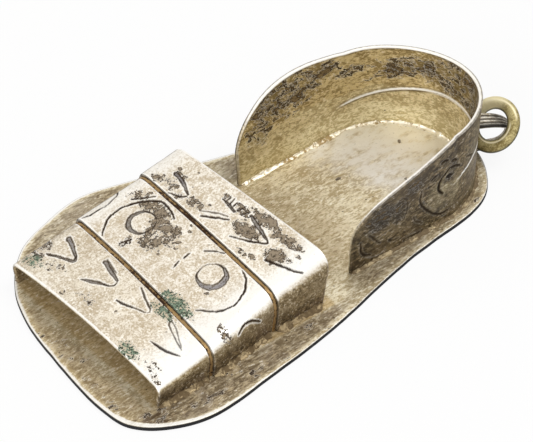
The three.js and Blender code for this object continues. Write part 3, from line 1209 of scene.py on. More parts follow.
@dataclass
class Strap(Part):
    """One bent strap: a surface between two edges, with its marks in (across, along) places.

    Across is the length along the strap from the centre line, positive to the far side. Along is
    the centre line's X. STRETCHES has about how long wall, bend, top, bend and wall are.
    """

    slot, finish = Slot.SILVER, STRAP_SILVER
    name: str
    node: str
    start: StrapEdge
    end: StrapEdge
    start_x: float
    end_x: float
    step: float
    marks: tuple[Mark, ...]
    stains: tuple[Blot, ...] = ()
    greens: tuple[Blot, ...] = ()
    seed: int = 1
    gold: float = 0.0
    far_gold: float = 0.05
    edge_radius: float = 0.1
    pitch: float = 0.085

    def outer_face(self, share: Array, place: Array) -> Array:
        """Outer face: near wall, bend, crowned top, bend and far wall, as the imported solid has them.

        A wall or the top is a straight line, a bend is a quadratic Bezier with its control at the
        corner, and the crown adds crown × (1 − across²) × the share of the full height.

        Args:
            share: Place from the front edge (0) to the rear edge (1), any shape.
            place: Place across the foot from 0 to 5, one unit for each stretch, same shape.

        Returns:
            Points with a last axis of 3.
        """
        mixed = self.start.numbers() + (self.end.numbers() - self.start.numbers()) * share[..., None]
        skew, near_foot, far_foot, near_height, far_height, lean, crown, bend = np.moveaxis(mixed, -1, 0)
        lift = self.step * (1 - share)
        near = np.stack([-near_foot - lift, np.zeros_like(share)], -1)
        far = np.stack([far_foot + lift, np.zeros_like(share)], -1)
        near_corner = np.stack([-near_foot - lean - lift, near_height + lift], -1)
        far_corner = np.stack([far_foot + lean + lift, far_height + lift], -1)

        def towards(a: Array, b: Array) -> Array:
            """The point one bend away from a towards b."""
            return a + (b - a) / np.linalg.norm(b - a, axis=-1, keepdims=True) * bend[..., None]

        a, b = towards(near_corner, near), towards(near_corner, far_corner)
        c, d = towards(far_corner, near_corner), towards(far_corner, far)
        stretch = np.clip(np.floor(place), 0, 4)
        t = (place - stretch)[..., None]
        pieces = [
            near + (a - near) * t,
            a * (1 - t) ** 2 + 2 * near_corner * t * (1 - t) + b * t**2,
            b + (c - b) * t,
            c * (1 - t) ** 2 + 2 * far_corner * t * (1 - t) + d * t**2,
            d + (far - d) * t,
        ]
        y, height = np.moveaxis(np.select([(stretch == k)[..., None] for k in range(5)], pieces), -1, 0)
        across = 2 * (y - near_corner[..., 0]) / (far_corner[..., 0] - near_corner[..., 0]) - 1
        height = height + crown * (1 - across**2) * height / np.maximum(near_height, far_height)
        x = self.start_x + (self.end_x - self.start_x) * share + skew * y
        return np.stack([x, y, SOLE_TOP + height], -1)

    def skin(self) -> Skin:
        """A closed sheet with cut marks, soft edges and slight dents."""
        length = self.end_x - self.start_x
        along = with_rounded_ends(length, int(length / self.pitch), self.edge_radius)
        steps = [int(n / self.pitch) for n in STRETCHES]
        stretches = [k + np.linspace(0, 1, n, endpoint=False) for k, n in enumerate(steps)]
        place = np.concatenate([*stretches, [len(steps)]])
        share, across = np.meshgrid(along / length, place, indexing="ij")
        face = self.outer_face(share, across)
        normal = surface_normals(face)
        run = np.cumsum(np.linalg.norm(np.diff(face, axis=1, prepend=face[:, :1]), axis=2), axis=1)
        middle = np.argmin(np.abs(face[..., 1]), axis=1)
        u = run - np.take_along_axis(run, middle[:, None], 1)
        v = np.broadcast_to((self.start_x + along)[:, None], u.shape)
        depth, values = cut_values(self.marks, u, v)
        stain = blot_cover(self.stains, u, v)
        dents = 0.018 * (1 + layered_noise(u, v, 2.4, self.seed))
        dents += 0.006 * (1 + layered_noise(u, v, 0.5, self.seed + 5))
        edge = np.minimum(along, length - along)[:, None]
        drop = edge_drop(edge, self.edge_radius)
        outer = above_sole(face - normal * (depth + dents + drop + 0.02 * stain)[..., None], FOOT_SINK)
        inner = above_sole(face - normal * (SHEET - drop)[..., None], FOOT_SINK)
        wobble = layered_noise(u, v, 1.5, self.seed + 3)
        up, far_side, plain = normal[..., 2], normal[..., 1] > 0, self.gold == 0
        # Painted shade: walls darker than the top, darker towards the sole, and lighter on the far side of
        # the middle and rear straps.
        wall = smooth(0.82, 0.12, up + 0.16 * wobble)
        wall = wall * (1 - 0.8 * smooth(0.2, 0.55, up) * far_side * plain)
        low = smooth(2.2, 0.2, face[..., 2] - SOLE_TOP + 0.5 * wobble)
        # Painted highlight on the near bend.
        bright = smooth(-5.0, -9.5, u + 1.4 * wobble) * smooth(0.35, 0.85, up)
        # Painted shade along the far bend, laid in with the cuts.
        fold = 0.8 * band(up, 0.5, 0.66, 0.76, 0.86) * far_side
        fold = fold * (0.75 + 0.5 * layered_noise(u, v, 0.6, self.seed + 13))
        values["cut"] = np.maximum(values["cut"], fold)
        # Painted highlight along the strap's front and rear edges, weaker on the walls.
        rim = smooth(0.24, 0.12, edge) * (0.75 + 0.35 * layered_noise(u, v, 0.8, self.seed + 9))
        rim = rim * (1 - 0.7 * wall)
        # Painted shade on the raised front edge of the middle and rear straps.
        lip = np.broadcast_to(smooth(0.07, 0.03, along[:, None]) * (self.step > 0), u.shape)
        golden = 2.0 * self.gold * smooth(7.0, 11.0, u) * (0.5 + 0.5 * wobble)
        far_gold = self.far_gold * smooth(3.0, 9.0, u) * (0.6 + wobble)
        # Painted highlight on the near bend and on the far top of the middle and rear straps.
        shine = 0.85 * bright * (1 + 0.3 * wobble) + 0.5 * plain * smooth(8.0, 10.0, u) * (1 - wall)
        values |= {
            "stain": np.clip(stain, 0, 1),
            "green": blot_cover(self.greens, u, v),
            "grime": np.clip(wall * (0.6 + 0.4 * low) + golden, 0, 1),
            "warm": np.clip(0.85 * wall + self.gold + far_gold, 0, 1),
            "polish": np.clip(shine + 0.9 * rim * (1 - lip), 0, 1) * (1 - 0.7 * stain),
            "soot": 0.6 * lip,
        }
        under = {"warm": np.full(u.shape, 0.8), "grime": np.full(u.shape, 0.5)}
        return sheet_skin(outer, inner, values, under)


def front_strap() -> Strap:
    """The front strap, with four chevrons of two chisel strokes each."""
    marks = (
        Stroke((9.65, -16.05, 8.4, -16.4, 7.0, -16.95), 0.42, 0.2, 0.06, 0.09, 1.0, 0.9),
        Stroke(
            (7.0, -16.95, 6.7, -17.3, 7.1, -17.55, 8.2, -17.95, 9.5, -18.45), 0.2, 0.16, 0.1, 0.08, 1.0, 0.7
        ),
        Stroke((4.5, -15.4, 3.2, -15.7, 1.8, -16.0), 0.46, 0.28, 0.05, 0.09, 1.0, 0.7),
        Stroke((4.6, -15.1, 3.6, -15.3, 2.6, -15.5), 0.1, 0.1, 0.05, 0.03, 0.8),
        Stroke((1.75, -16.0, 1.4, -16.45, 1.6, -16.85, 2.2, -17.15), 0.1, 0.12, 0.0, 0.08),
        Stroke((2.1, -17.1, 3.2, -17.65, 4.3, -18.25), 0.14, 0.08, 0.24, 0.09, 1.0, 0.7),
        Stroke((-0.5, -14.85, -1.8, -15.35, -3.1, -15.75), 0.12, 0.1, 0.06, 0.08, 0.9, 0.3),
        Stroke((-3.1, -15.75, -3.35, -16.1, -3.0, -16.5, -1.6, -17.05), 0.08, 0.1, 0.0, 0.06, 0.85),
        Stroke((-1.9, -16.95, -1.0, -17.3, -0.25, -17.5), 0.16, 0.14, 0.08, 0.09, 1.0, 0.4),
        Stroke((-5.6, -15.0, -7.0, -15.45, -8.9, -16.45), 0.08, 0.08, 0.02, 0.05, 0.75),
        Stroke((-5.6, -15.0, -5.8, -15.5, -7.2, -16.0, -8.9, -16.45), 0.1, 0.08, 0.04, 0.05, 0.85),
        Stroke((-6.2, -18.15, -7.8, -17.7, -9.4, -16.95), 0.05, 0.06, 0.2, 0.09, 1.0, 0.2),
        Stroke((10.3, -17.6, 11.3, -17.2, 12.1, -16.9), 0.07, 0.07, 0.0, 0.03, 0.8),
        Stroke((10.2, -19.1, 11.2, -18.9, 12.1, -18.2), 0.07, 0.07, 0.0, 0.03, 0.8),
    )
    stains = (
        Blot(7.4, -18.9, 1.5, 0.8, 0, 0.34), Blot(10.7, -17.6, 1.0, 0.45, 20, 0.5),
        Blot(10.6, -18.9, 1.0, 0.5, 0, 0.55), Blot(4.2, -20.4, 0.3, 0.3, 0, 0.6),
        Blot(-1.3, -18.4, 0.2, 0.2, 0, 0.7), Blot(2.0, -19.2, 2.2, 0.7, 0, 0.26),
        Blot(-9.9, -20.6, 0.8, 0.4, 0, 0.6), Blot(-8.6, -19.9, 1.6, 0.9, 0, 0.28),
    )  # fmt: skip
    greens = (
        Blot(-4.6, -15.0, 1.3, 0.6, 0, 0.72), Blot(-3.4, -15.2, 0.9, 0.6, 10, 0.55),
        Blot(-5.9, -20.4, 1.5, 0.9, 0, 0.68), Blot(9.9, -19.8, 1.4, 0.8, 0, 0.52),
    )  # fmt: skip
    places = (FRONT_EDGE, FIRST_JOINT, -21.0, -14.4, 0.0)
    return Strap("strap_front", "front_strap", *places, marks, stains, greens, 3, 0.3)


def middle_strap() -> Strap:
    """The middle strap, with two ring motifs, each inside a broken arc."""
    marks = (
        Crescent((-4.2, -9.3), 1.56, (-3.88, -9.2), 1.22),
        Stroke((-5.5, -6.8, -6.6, -7.2, -7.4, -7.95, -8.0, -9.0), 0.08, 0.14),
        Stroke((-8.0, -9.0, -8.15, -9.9, -7.9, -10.9, -7.3, -11.8, -6.3, -12.7), 0.14, 0.1),
        Stroke((-2.7, -6.8, -2.0, -7.25, -1.2, -7.95), 0.08, 0.08, 0.06),
        Stroke((-0.5, -9.15, -0.45, -9.45, -0.5, -9.9), 0.08, 0.07),
        Stroke((-0.55, -10.5, -0.6, -10.9, -0.75, -11.3), 0.08, 0.06),
        Crescent((5.95, -10.18), 1.5, (5.77, -10.03), 1.24, 0.09, 1.0, 0.5),
        Stroke((4.0, -7.65, 5.1, -7.25, 6.5, -7.2, 7.6, -8.0, 8.4, -9.2, 8.8, -10.5), 0.12, 0.18),
        Stroke((8.8, -10.5, 8.8, -11.6, 8.45, -12.6, 7.35, -13.8), 0.18, 0.1),
        Stroke((7.5, -7.2, 8.3, -8.2, 9.0, -9.05), 0.08, 0.1),
        Stroke((12.0, -9.5, 11.3, -9.25, 10.5, -9.8, 10.2, -11.1), 0.09, 0.06),
        Stroke((10.2, -11.1, 10.25, -11.8, 10.35, -12.5, 10.45, -13.2, 10.75, -13.85), 0.06, 0.1),
        Stroke((-11.1, -8.4, -10.45, -9.4, -10.5, -10.4, -10.85, -11.0), 0.12, 0.14),
        Stroke((4.85, -12.1, 4.95, -12.6, 4.75, -13.3), 0.08, 0.06),
        Stroke((5.05, -12.3, 5.2, -12.9, 5.25, -13.2), 0.07, 0.06),
        Stroke((4.7, -12.7, 5.1, -12.75), 0.07, 0.06),
    )
    stains = (
        Blot(6.2, -8.1, 2.1, 0.8, -8, 0.78), Blot(4.6, -9.0, 0.9, 1.0, 30, 0.85),
        Blot(3.0, -8.9, 1.2, 0.9, 0, 0.8), Blot(2.6, -10.4, 0.6, 1.0, 25, 0.8),
        Blot(3.6, -11.2, 1.3, 0.6, -15, 0.8), Blot(4.5, -10.3, 0.5, 0.7, 0, 0.8),
        Blot(5.0, -12.7, 0.5, 0.9, -10, 0.55), Blot(8.7, -8.1, 1.3, 0.8, -40, 0.7),
        Blot(3.0, -10.0, 1.6, 1.9, 0, 0.42), Blot(1.6, -7.5, 0.26, 0.18, -30, 1.0, 0.1),
        Blot(2.6, -8.0, 0.2, 0.18, 0, 1.0, 0.1), Blot(1.4, -9.2, 0.46, 0.16, -40, 0.9, 0.1),
        Blot(1.0, -9.8, 0.2, 0.18, 0, 1.0, 0.1), Blot(1.9, -8.7, 0.16, 0.14, 0, 1.0, 0.1),
        Blot(2.2, -7.0, 0.2, 0.14, 0, 0.8), Blot(1.6, -11.4, 0.2, 0.15, 0, 0.9),
        Blot(-5.4, -10.9, 0.4, 0.2, -30, 0.6), Blot(-10.3, -12.2, 1.2, 0.6, 0, 0.4),
    )  # fmt: skip
    greens = (Blot(-4.6, -13.6, 2.1, 0.8, 0, 0.78), Blot(-3.0, -13.8, 0.9, 0.5, 0, 0.6))
    places = (FIRST_JOINT, SECOND_JOINT, -14.1, -6.6, 0.2)
    return Strap("strap_middle", "middle_strap", *places, marks, stains, greens, 41)


def rear_strap() -> Strap:
    """The rear strap, with three chevrons that have sunk into brown patches."""
    marks = (
        Stroke((-6.2, -4.8, -7.6, -4.4, -9.1, -3.95, -10.0, -3.35), 0.14, 0.08, 0.1, 0.09, 1.0, 0.1),
        Stroke((-1.3, -2.5, -2.9, -2.95, -4.7, -3.35), 0.26, 0.14, 0.12, 0.1, 1.0, 0.8),
        Stroke((-4.6, -3.3, -4.95, -3.55, -4.3, -4.05, -3.0, -4.7, -1.6, -5.35), 0.12, 0.1, 0.06),
        Stroke((2.35, -5.75, 1.2, -4.95, 0.0, -4.15), 0.14, 0.1),
        Stroke((2.9, -5.4, 1.6, -4.55, 0.4, -4.0), 0.1, 0.08, 0.04, 0.05, 0.8),
        Stroke((8.4, -3.9, 7.2, -4.15, 6.2, -4.5, 5.35, -4.85), 0.4, 0.16, 0.1, 0.09, 1.0, 0.85),
        Stroke((5.3, -5.1, 5.8, -5.6, 6.9, -6.15), 0.14, 0.12),
        Stroke((0.25, -3.25, 1.2, -3.05, 2.2, -2.95), 0.26, 0.18, 0.06, 0.08, 1.0, 0.7),
        Stroke((0.85, -3.0, 0.95, -2.2), 0.1, 0.06, 0.04, 0.06),
        Stroke((1.35, -2.9, 1.5, -2.15), 0.1, 0.06, 0.04, 0.06),
        Stroke((1.9, -2.9, 1.85, -2.3), 0.1, 0.06, 0.04, 0.06),
        Stroke((-0.9, -2.3, -0.5, -3.0), 0.08, 0.1, 0.04, 0.06),
        Stroke((-0.1, -2.1, 0.1, -3.0), 0.08, 0.1, 0.04, 0.06),
    )
    stains = (
        Blot(-2.9, -2.05, 2.2, 0.6, 0, 0.85), Blot(-6.4, -2.3, 1.7, 0.5, -5, 0.85),
        Blot(-4.9, -2.6, 0.6, 0.3, -40, 0.8), Blot(-6.8, -3.95, 1.4, 0.8, -15, 0.85),
        Blot(-8.3, -2.8, 0.5, 0.2, 0, 0.6), Blot(-2.4, -3.9, 1.7, 0.8, 0, 0.85),
        Blot(-0.2, -2.6, 1.2, 0.5, 0, 0.55), Blot(1.9, -2.7, 1.0, 0.5, 20, 0.5),
        Blot(7.7, -3.9, 1.0, 0.6, 5, 0.75), Blot(8.5, -3.2, 0.26, 0.2, 0, 1.0, 0.1),
        Blot(4.0, -5.1, 1.1, 0.6, 0, 0.62), Blot(5.8, -5.5, 0.8, 0.5, -30, 0.6),
        Blot(7.6, -5.2, 1.0, 0.7, 8, 0.5), Blot(9.3, -5.5, 0.7, 0.6, 0, 0.68),
        Blot(2.7, -4.3, 0.2, 0.16, 0, 0.9, 0.1), Blot(5.3, -3.0, 0.25, 0.2, 0, 0.6),
        Blot(6.75, -2.25, 0.2, 0.18, 0, 1.0, 0.1), Blot(-5.0, -5.4, 0.5, 0.22, 0, 0.8),
        Blot(-3.8, -5.7, 0.9, 0.3, 0, 0.45),
    )  # fmt: skip
    places = (SECOND_JOINT, REAR_EDGE, -6.3, -1.1, 0.2)
    return Strap("strap_rear", "rear_strap", *places, marks, stains, (), 61)


@dataclass
class JointFill(Part):
    """Solder that fills the gap between two straps, a little below the first one's top."""

    node, slot, finish = "", Slot.SILVER, JOINT_SOLDER
    before: Strap
    after: Strap
    dark_part: Pair
    rows: int = 7
    columns: int = 420
    lap_before: float = 0.09
    lap_after: float = 0.03
    thinner: float = 0.04

    @property
    def name(self) -> str:
        """Name of the piece."""
        return f"solder_{self.before.name}_joint"

    def skin(self) -> Skin:
        """A strip along the first strap's rear edge, as wide as the gap, with a slight lumpiness."""
        place = np.linspace(0, 5, self.columns)[None, :]
        share = np.linspace(0, 1, self.rows)[:, None]
        edge = self.before.outer_face(np.ones(place.shape), place)
        edge = np.repeat(edge, self.rows, axis=0)
        normal = surface_normals(edge + np.array([1.0, 0.0, 0.0]) * share[..., None])
        width = self.after.start_x - self.before.end_x + self.lap_before + self.lap_after
        edge[..., 0] += width * share - self.lap_before
        run = np.broadcast_to(place * 4.5, edge.shape[:2])
        lumps = 0.02 * layered_noise(run, edge[..., 0], 0.8, 141)
        top = above_sole(edge + normal * lumps[..., None], FOOT_SINK)
        under = above_sole(edge - normal * (SHEET - self.thinner), FOOT_SINK)
        dark = 0.3 + 0.7 * smooth(0.7, 1.0, share) + 0.45 * smooth(0.3, 0.0, share)
        dark = dark + 0.35 * layered_noise(run, share * 2, 0.7, 145)
        first, last = self.dark_part
        dark = dark + 0.3 * band(edge[..., 1], first - 1.5, first, last, last + 1.5)
        return sheet_skin(top, under, {"shade": dark}, {"shade": dark})


@dataclass
class Counter(Part):
    """Strip bent round the heel: two straight sides and a half round back, leaning out at its rim.

    Places on it are (run, height): the length along its foot from the near tip, and the height
    above the sole.
    """

    name, node, slot, finish = "counter", "heel_counter", Slot.DARK_SILVER, COUNTER_SILVER
    tip_x: float = 3.5
    back_x: float = 23.9
    half_width: float = 8.4
    height: float = 9.5
    tip_height: float = 3.1
    rise_length: float = 11.0
    rise_power: float = 2.15
    back_dip: float = 0.3
    flare: float = 1.25
    flare_length: float = 14.2
    flare_lead: float = 1.0
    back_lean: float = 0.75
    lean_turn: float = -12.0
    edge_radius: float = 0.12
    pitch: float = 0.11
    rim_rows: tuple[float, ...] = (0.012, 0.008, 0.0045, 0.002, 0.0)
    ridge_width: float = 0.15

    @property
    def round_x(self) -> float:
        """Where the round back's centre lies."""
        return self.back_x - self.half_width

    @property
    def side(self) -> float:
        """Length of a straight side."""
        return self.round_x - self.tip_x

    @property
    def total(self) -> float:
        """Length of the whole strip along its foot."""
        return 2 * self.side + math.pi * self.half_width

    def from_tip(self, run: Array) -> Array:
        """Length from the nearer tip."""
        return np.minimum(run, self.total - run)

    def plan(self, run: Array) -> tuple[Array, Array, Array, Array]:
        """Foot line of the outer face and its outward direction.

        Args:
            run: Length from the near tip.

        Returns:
            x, y, and the outward direction's x and y.
        """
        arc = math.pi * self.half_width
        turn = np.clip((run - self.side) / arc, 0, 1) * math.pi - math.pi / 2
        out_x, out_y = np.cos(turn), np.sin(turn)
        straight = np.minimum(run - self.side, 0) + np.minimum(self.side + arc - run, 0)
        return self.round_x + self.half_width * out_x + straight, self.half_width * out_y, out_x, out_y

    def rim_height(self, x: Array) -> Array:
        """Rim height: a superellipse from the tip, less a dip that grows as a square at the back."""
        short = np.clip(1 - (x - self.tip_x) / self.rise_length, 0, 1)
        rise = (1 - short**self.rise_power) ** (1 / self.rise_power)
        past = np.clip((x - self.round_x) / self.half_width, 0, None)
        return self.tip_height + (self.height - self.tip_height) * rise - self.back_dip * past**2

    def rim_lean(self, x: Array, out_x: Array, out_y: Array) -> Array:
        """Rim lean: half a sine along each side, and a fourth power of a cosine round the back."""
        share = np.clip((x - self.tip_x + self.flare_lead) / self.flare_length, 0, 1)
        turn = math.radians(self.lean_turn)
        facing = np.clip(out_x * math.cos(turn) + out_y * math.sin(turn), 0, None)
        return self.flare * np.sin(math.pi * share) + self.back_lean * facing**4

    def wall(self, run: Array, height: Array, inset: Array | float) -> Array:
        """Points on the wall, the given inset in from its outer face.

        Args:
            run: Length from the near tip.
            height: Height above the sole.
            inset: Distance from the outer face.

        Returns:
            Points with a last axis of 3.
        """
        x, y, out_x, out_y = self.plan(run)
        full = self.rim_height(x)
        lean = self.rim_lean(x, out_x, out_y) * np.clip(height / full, 0, 1) ** 1.5 - inset
        return np.stack([x + out_x * lean, y + out_y * lean, SOLE_TOP + height], -1)

    @staticmethod
    def crease_height(run: Array) -> Array:
        """Height of the chased line round the back: straight lines blended through seven places."""
        runs = [11.5, 13, 16.5, 22, 26.5, 32.5, 38.5]
        return np.interp(run, runs, [3.9, 4.2, 4.85, 5.05, 4.95, 4.05, 3.0])

    def outer_marks(self) -> tuple[Stroke, ...]:
        """Scrolls and leaf forms engraved on the near side and, turned round, on the far side."""
        near = (
            Stroke(
                (8.2, 6.0, 8.25, 4.6, 8.75, 3.5, 9.5, 2.55, 10.3, 1.65, 11.2, 1.15, 12.2, 1.1),
                0.14, 0.14, 0.08, 0.12,
            ),
            raised(
                (8.55, 5.6, 8.65, 4.6, 9.1, 3.7, 9.8, 2.85, 10.6, 2.05, 11.5, 1.6),
                0.06, 0.06, 0.08, 0.05, 0.8,
            ),
            raised((10.8, 0.75, 11.6, 0.65, 12.8, 0.8), 0.1, 0.06, 0.05, 0.06, 1.0),
            Stroke((11.6, 6.1, 11.0, 5.75, 10.7, 5.0, 10.85, 4.2, 11.4, 3.6), 0.22, 0.16, 0.16, 0.2),
            raised((11.3, 5.4, 11.15, 4.9, 11.25, 4.4), 0.08, 0.08, 0.06, 0.05, 0.9),
            Stroke((11.5, 6.15, 12.1, 6.35, 12.9, 6.2, 13.7, 5.8), 0.2, 0.1, 0.06, 0.14),
            raised((11.3, 6.7, 12.2, 6.85, 13.2, 6.6), 0.08, 0.06, 0.06, 0.05, 0.8),
            Stroke((11.8, 5.5, 12.1, 5.4, 12.5, 5.3), 0.34, 0.2, 0.1, 0.16),
            Stroke((9.4, 6.6, 9.8, 6.8, 10.3, 6.7), 0.18, 0.12, 0.08, 0.08, 0.7),
            Stroke((9.1, 5.9, 9.5, 5.75, 10.0, 5.8), 0.14, 0.1, 0.06, 0.08, 0.7),
            raised((9.2, 6.25, 9.8, 6.2, 10.4, 6.3), 0.06, 0.06, 0.05, 0.05, 0.7),
            Stroke((10.7, 8.0, 11.2, 7.95, 11.7, 7.7), 0.22, 0.14, 0.1, 0.12),
            Stroke((12.3, 7.2, 12.8, 7.0, 13.2, 6.7), 0.2, 0.12, 0.1, 0.12),
            raised((8.9, 7.5, 10.1, 7.6, 11.2, 7.2, 12.0, 7.3), 0.08, 0.08, 0.06, 0.06, 0.8, 0.2),
            raised((12.1, 4.6, 12.6, 4.05, 13.2, 4.05, 14.0, 4.35), 0.14, 0.12, 0.08, 0.08, 0.95, 0.2),
            Stroke((14.8, 6.0, 15.5, 5.6, 16.2, 5.35), 0.14, 0.1, 0.06, 0.08, 0.8, 0.0, 0.6),
            Stroke((5.5, 6.9, 6.2, 6.2, 6.45, 5.3, 6.6, 4.4, 6.3, 3.4), 0.08, 0.08, 0.05, 0.05, 0.6),
            raised((2.3, 6.4, 2.9, 7.0, 4.2, 7.3), 0.12, 0.12, 0.06, 0.05, 0.4),
            raised((3.0, 2.6, 4.0, 3.0, 4.9, 3.25), 0.16, 0.1, 0.06, 0.06, 0.8, 0.3),
            Stroke((2.1, 3.8, 2.8, 2.9, 3.5, 2.0), 0.14, 0.1, 0.06, 0.1, 0.8),
            Stroke((1.0, 3.4, 1.2, 2.2, 1.7, 1.4, 2.4, 1.05), 0.16, 0.16, 0.08, 0.1),
            raised((1.7, 1.1, 2.4, 0.72, 3.4, 0.5, 4.4, 0.6), 0.14, 0.12, 0.06, 0.06, 0.95),
            Stroke((4.6, 1.7, 5.2, 1.3, 5.9, 1.2), 0.12, 0.1, 0.06, 0.08, 0.7),
            Stroke((6.6, 0.4, 7.6, 0.42, 8.6, 0.4), 0.12, 0.14, 0.08, 0.08, 0.7),
            raised((6.2, 0.85, 7.6, 0.8, 9.2, 0.7), 0.08, 0.06, 0.04, 0.05, 0.8),
            raised((3.9, 5.8, 4.1, 5.6), 0.12, 0.08, 0.02, 0.05, 1.0),
            raised((3.6, 5.15, 3.9, 4.95), 0.1, 0.06, 0.02, 0.05, 1.0),
            Stroke((7.6, 2.9, 8.0, 2.1, 8.9, 1.3), 0.1, 0.1, 0.05, 0.07, 0.8),
        )  # fmt: skip
        return (*near, *(mark.mirrored(self.total) for mark in near))

    def hollows(self, u: Array, v: Array) -> Array:
        """Sunk ground beside the leaf forms, from 0 to 1."""
        grounds = (
            Blot(3.4, 5.6, 1.8, 1.9, 30, 1.0, 0.3), Blot(5.3, 5.2, 0.9, 1.9, 10, 0.8, 0.3),
            Blot(7.3, 7.3, 1.5, 1.1, 0, 0.75), Blot(12.2, 5.4, 0.8, 0.7, 0, 0.7, 0.3),
            Blot(11.4, 1.9, 1.2, 0.4, 15, 0.55, 0.3),
        )  # fmt: skip
        return blot_cover(grounds, self.from_tip(u), v)

    def skin(self) -> Skin:
        """A closed sheet, with the chased line as a groove outside and a ridge inside."""
        run = with_rounded_ends(self.total, int(self.total / self.pitch), self.edge_radius)
        even = np.linspace(0, 1, int(self.height / self.pitch))[:-2]
        share = np.concatenate([even, 1 - np.array(self.rim_rows)])
        u, rise = np.meshgrid(run[::-1], np.unique(share), indexing="ij")
        tip, full = self.from_tip(u), self.rim_height(self.plan(u)[0])
        v = rise * full
        crease = band(u, 11.8, 14.5, 36.5, 38.8)
        off = (v - self.crease_height(u)) / self.ridge_width
        groove = crease * soft_line(off, 0.0, 1.0)
        depth, marks = cut_values(self.outer_marks(), u, v)
        marks["burr"] *= 0.34
        hollow = self.hollows(u, v)
        edge = np.minimum(tip, full - v)
        drop = edge_drop(edge, self.edge_radius)
        dents = 0.02 * (1 + layered_noise(u, v, 3.0, 71)) + 0.012 * (1 + layered_noise(u, v, 0.7, 75))
        dents = dents * smooth(0.0, 0.8, v)
        outer = self.wall(u, v, depth + drop + dents + 0.06 * groove + 0.07 * hollow)
        inner = self.wall(u, v, SHEET - drop + 0.1 * groove - dents * 0.5)
        cloud = layered_noise(u, v, 2.2, 81)
        # Painted highlight along the rim, weaker near the tips.
        rim_highlight_share = 0.35 + 0.65 * smooth(0.6, 3.0, tip)
        rim = smooth(0.2, 0.1, edge + 0.05 * cloud) * rim_highlight_share
        disc = smooth(2.9, 1.9, np.hypot(tip - 11.4, v - 3.7))
        # Painted highlight along the chased line, beside its groove.
        line = crease * soft_line(off, -0.7, 3.0) * smooth(13.0, 14.0, tip)
        rim_shadow = 0.5 * band(edge, 0.14, 0.2, 0.26, 0.4) * smooth(-0.5, 0.3, cloud)
        marks["cut"] = np.maximum(marks["cut"], rim_shadow)
        grime = 0.94 + 0.1 * cloud - 0.2 * disc * (1 - hollow) - 0.15 * smooth(12.0, 16.0, tip)
        # The rim, the chased line and a little the raised disc get painted highlight.
        marks |= {
            "grime": np.clip(grime, 0, 1),
            "warm": 0.2 * disc,
            "stain": np.clip(0.4 * hollow + 0.12 * smooth(-0.2, 0.6, cloud), 0, 1) * (1 - rim),
            "soot": 0.4 * hollow,
            "polish": np.clip(0.85 * line + 0.3 * rim + 0.1 * disc, 0, 1),
        }
        inside = self.inner_values(u, v, smooth(0.2, 0.12, edge) * rim_highlight_share, off, crease, cloud)
        # Painted shade in a thin band just under the inner rim.
        inside["cut"] = np.maximum(inside["cut"], 0.45 * band(full - v, 0.16, 0.22, 0.26, 0.36))
        return sheet_skin(outer, inner, marks, inside)

    @staticmethod
    def inner_values(u: Array, v: Array, rim: Array, off: Array, crease: Array, cloud: Array) -> Values:
        """Colour of the inner face: lighter below the ridge, warmer above it, dark and speckled on top.

        Args:
            u: Length along the strip.
            v: Height above the sole.
            rim: 1 at the rim.
            off: Distance from the ridge over its half width.
            crease: Strength of the ridge.
            cloud: Slow noise.

        Returns:
            Named values.
        """
        patches = (
            Blot(44.5, 7.3, 4.6, 2.3, -6, 0.7), Blot(47.6, 4.9, 2.0, 1.8, 0, 0.6),
            Blot(40.0, 8.2, 2.6, 0.9, 0, 0.75), Blot(31.2, 6.9, 2.3, 1.2, -20, 0.8),
            Blot(28.7, 7.2, 1.3, 1.2, 0, 0.7), Blot(36.0, 7.2, 2.6, 0.6, -5, 0.6),
            Blot(33.8, 6.0, 1.5, 0.5, -25, 0.45), Blot(49.0, 2.2, 0.9, 1.6, 0, 0.4),
        )  # fmt: skip
        dark = blot_cover(patches, u, v)
        side = smooth(31.0, 25.0, u + 0.8 * cloud) * smooth(4.9, 5.6, v) + 0.3 * smooth(23.5, 21.5, u)
        # Painted highlight on the ridge and on a second line under it at the front; painted shade under the
        # ridge further back and above it.
        ridge = crease * soft_line(off, 0.2, 1.8)
        twin = crease * soft_line(off, -1.5, 3.0) * smooth(29.0, 27.0, u)
        under = crease * soft_line(off, -1.5, 2.0) * smooth(27.0, 29.0, u)
        above = crease * soft_line(off, 1.7, 3.0)
        clear = (1 - ridge) * (1 - rim)
        shine = ridge * (0.75 + 0.25 * smooth(26.0, 29.0, u))
        return {
            "warm": np.clip(0.85 * smooth(4.2, 5.4, v + 0.5 * cloud) + 0.5 * smooth(1.0, 3.0, v), 0, 1),
            "grime": np.clip(0.5 * side + 0.6 * dark, 0, 1) * clear,
            "stain": np.clip(0.4 * dark + 0.16 * side + 0.14 * smooth(2.5, 6.0, v), 0, 1) * clear,
            "cut": 0.75 * np.maximum(under, 0.6 * above),
            "polish": np.clip(shine + 0.6 * twin + 0.95 * rim, 0, 1),
        }


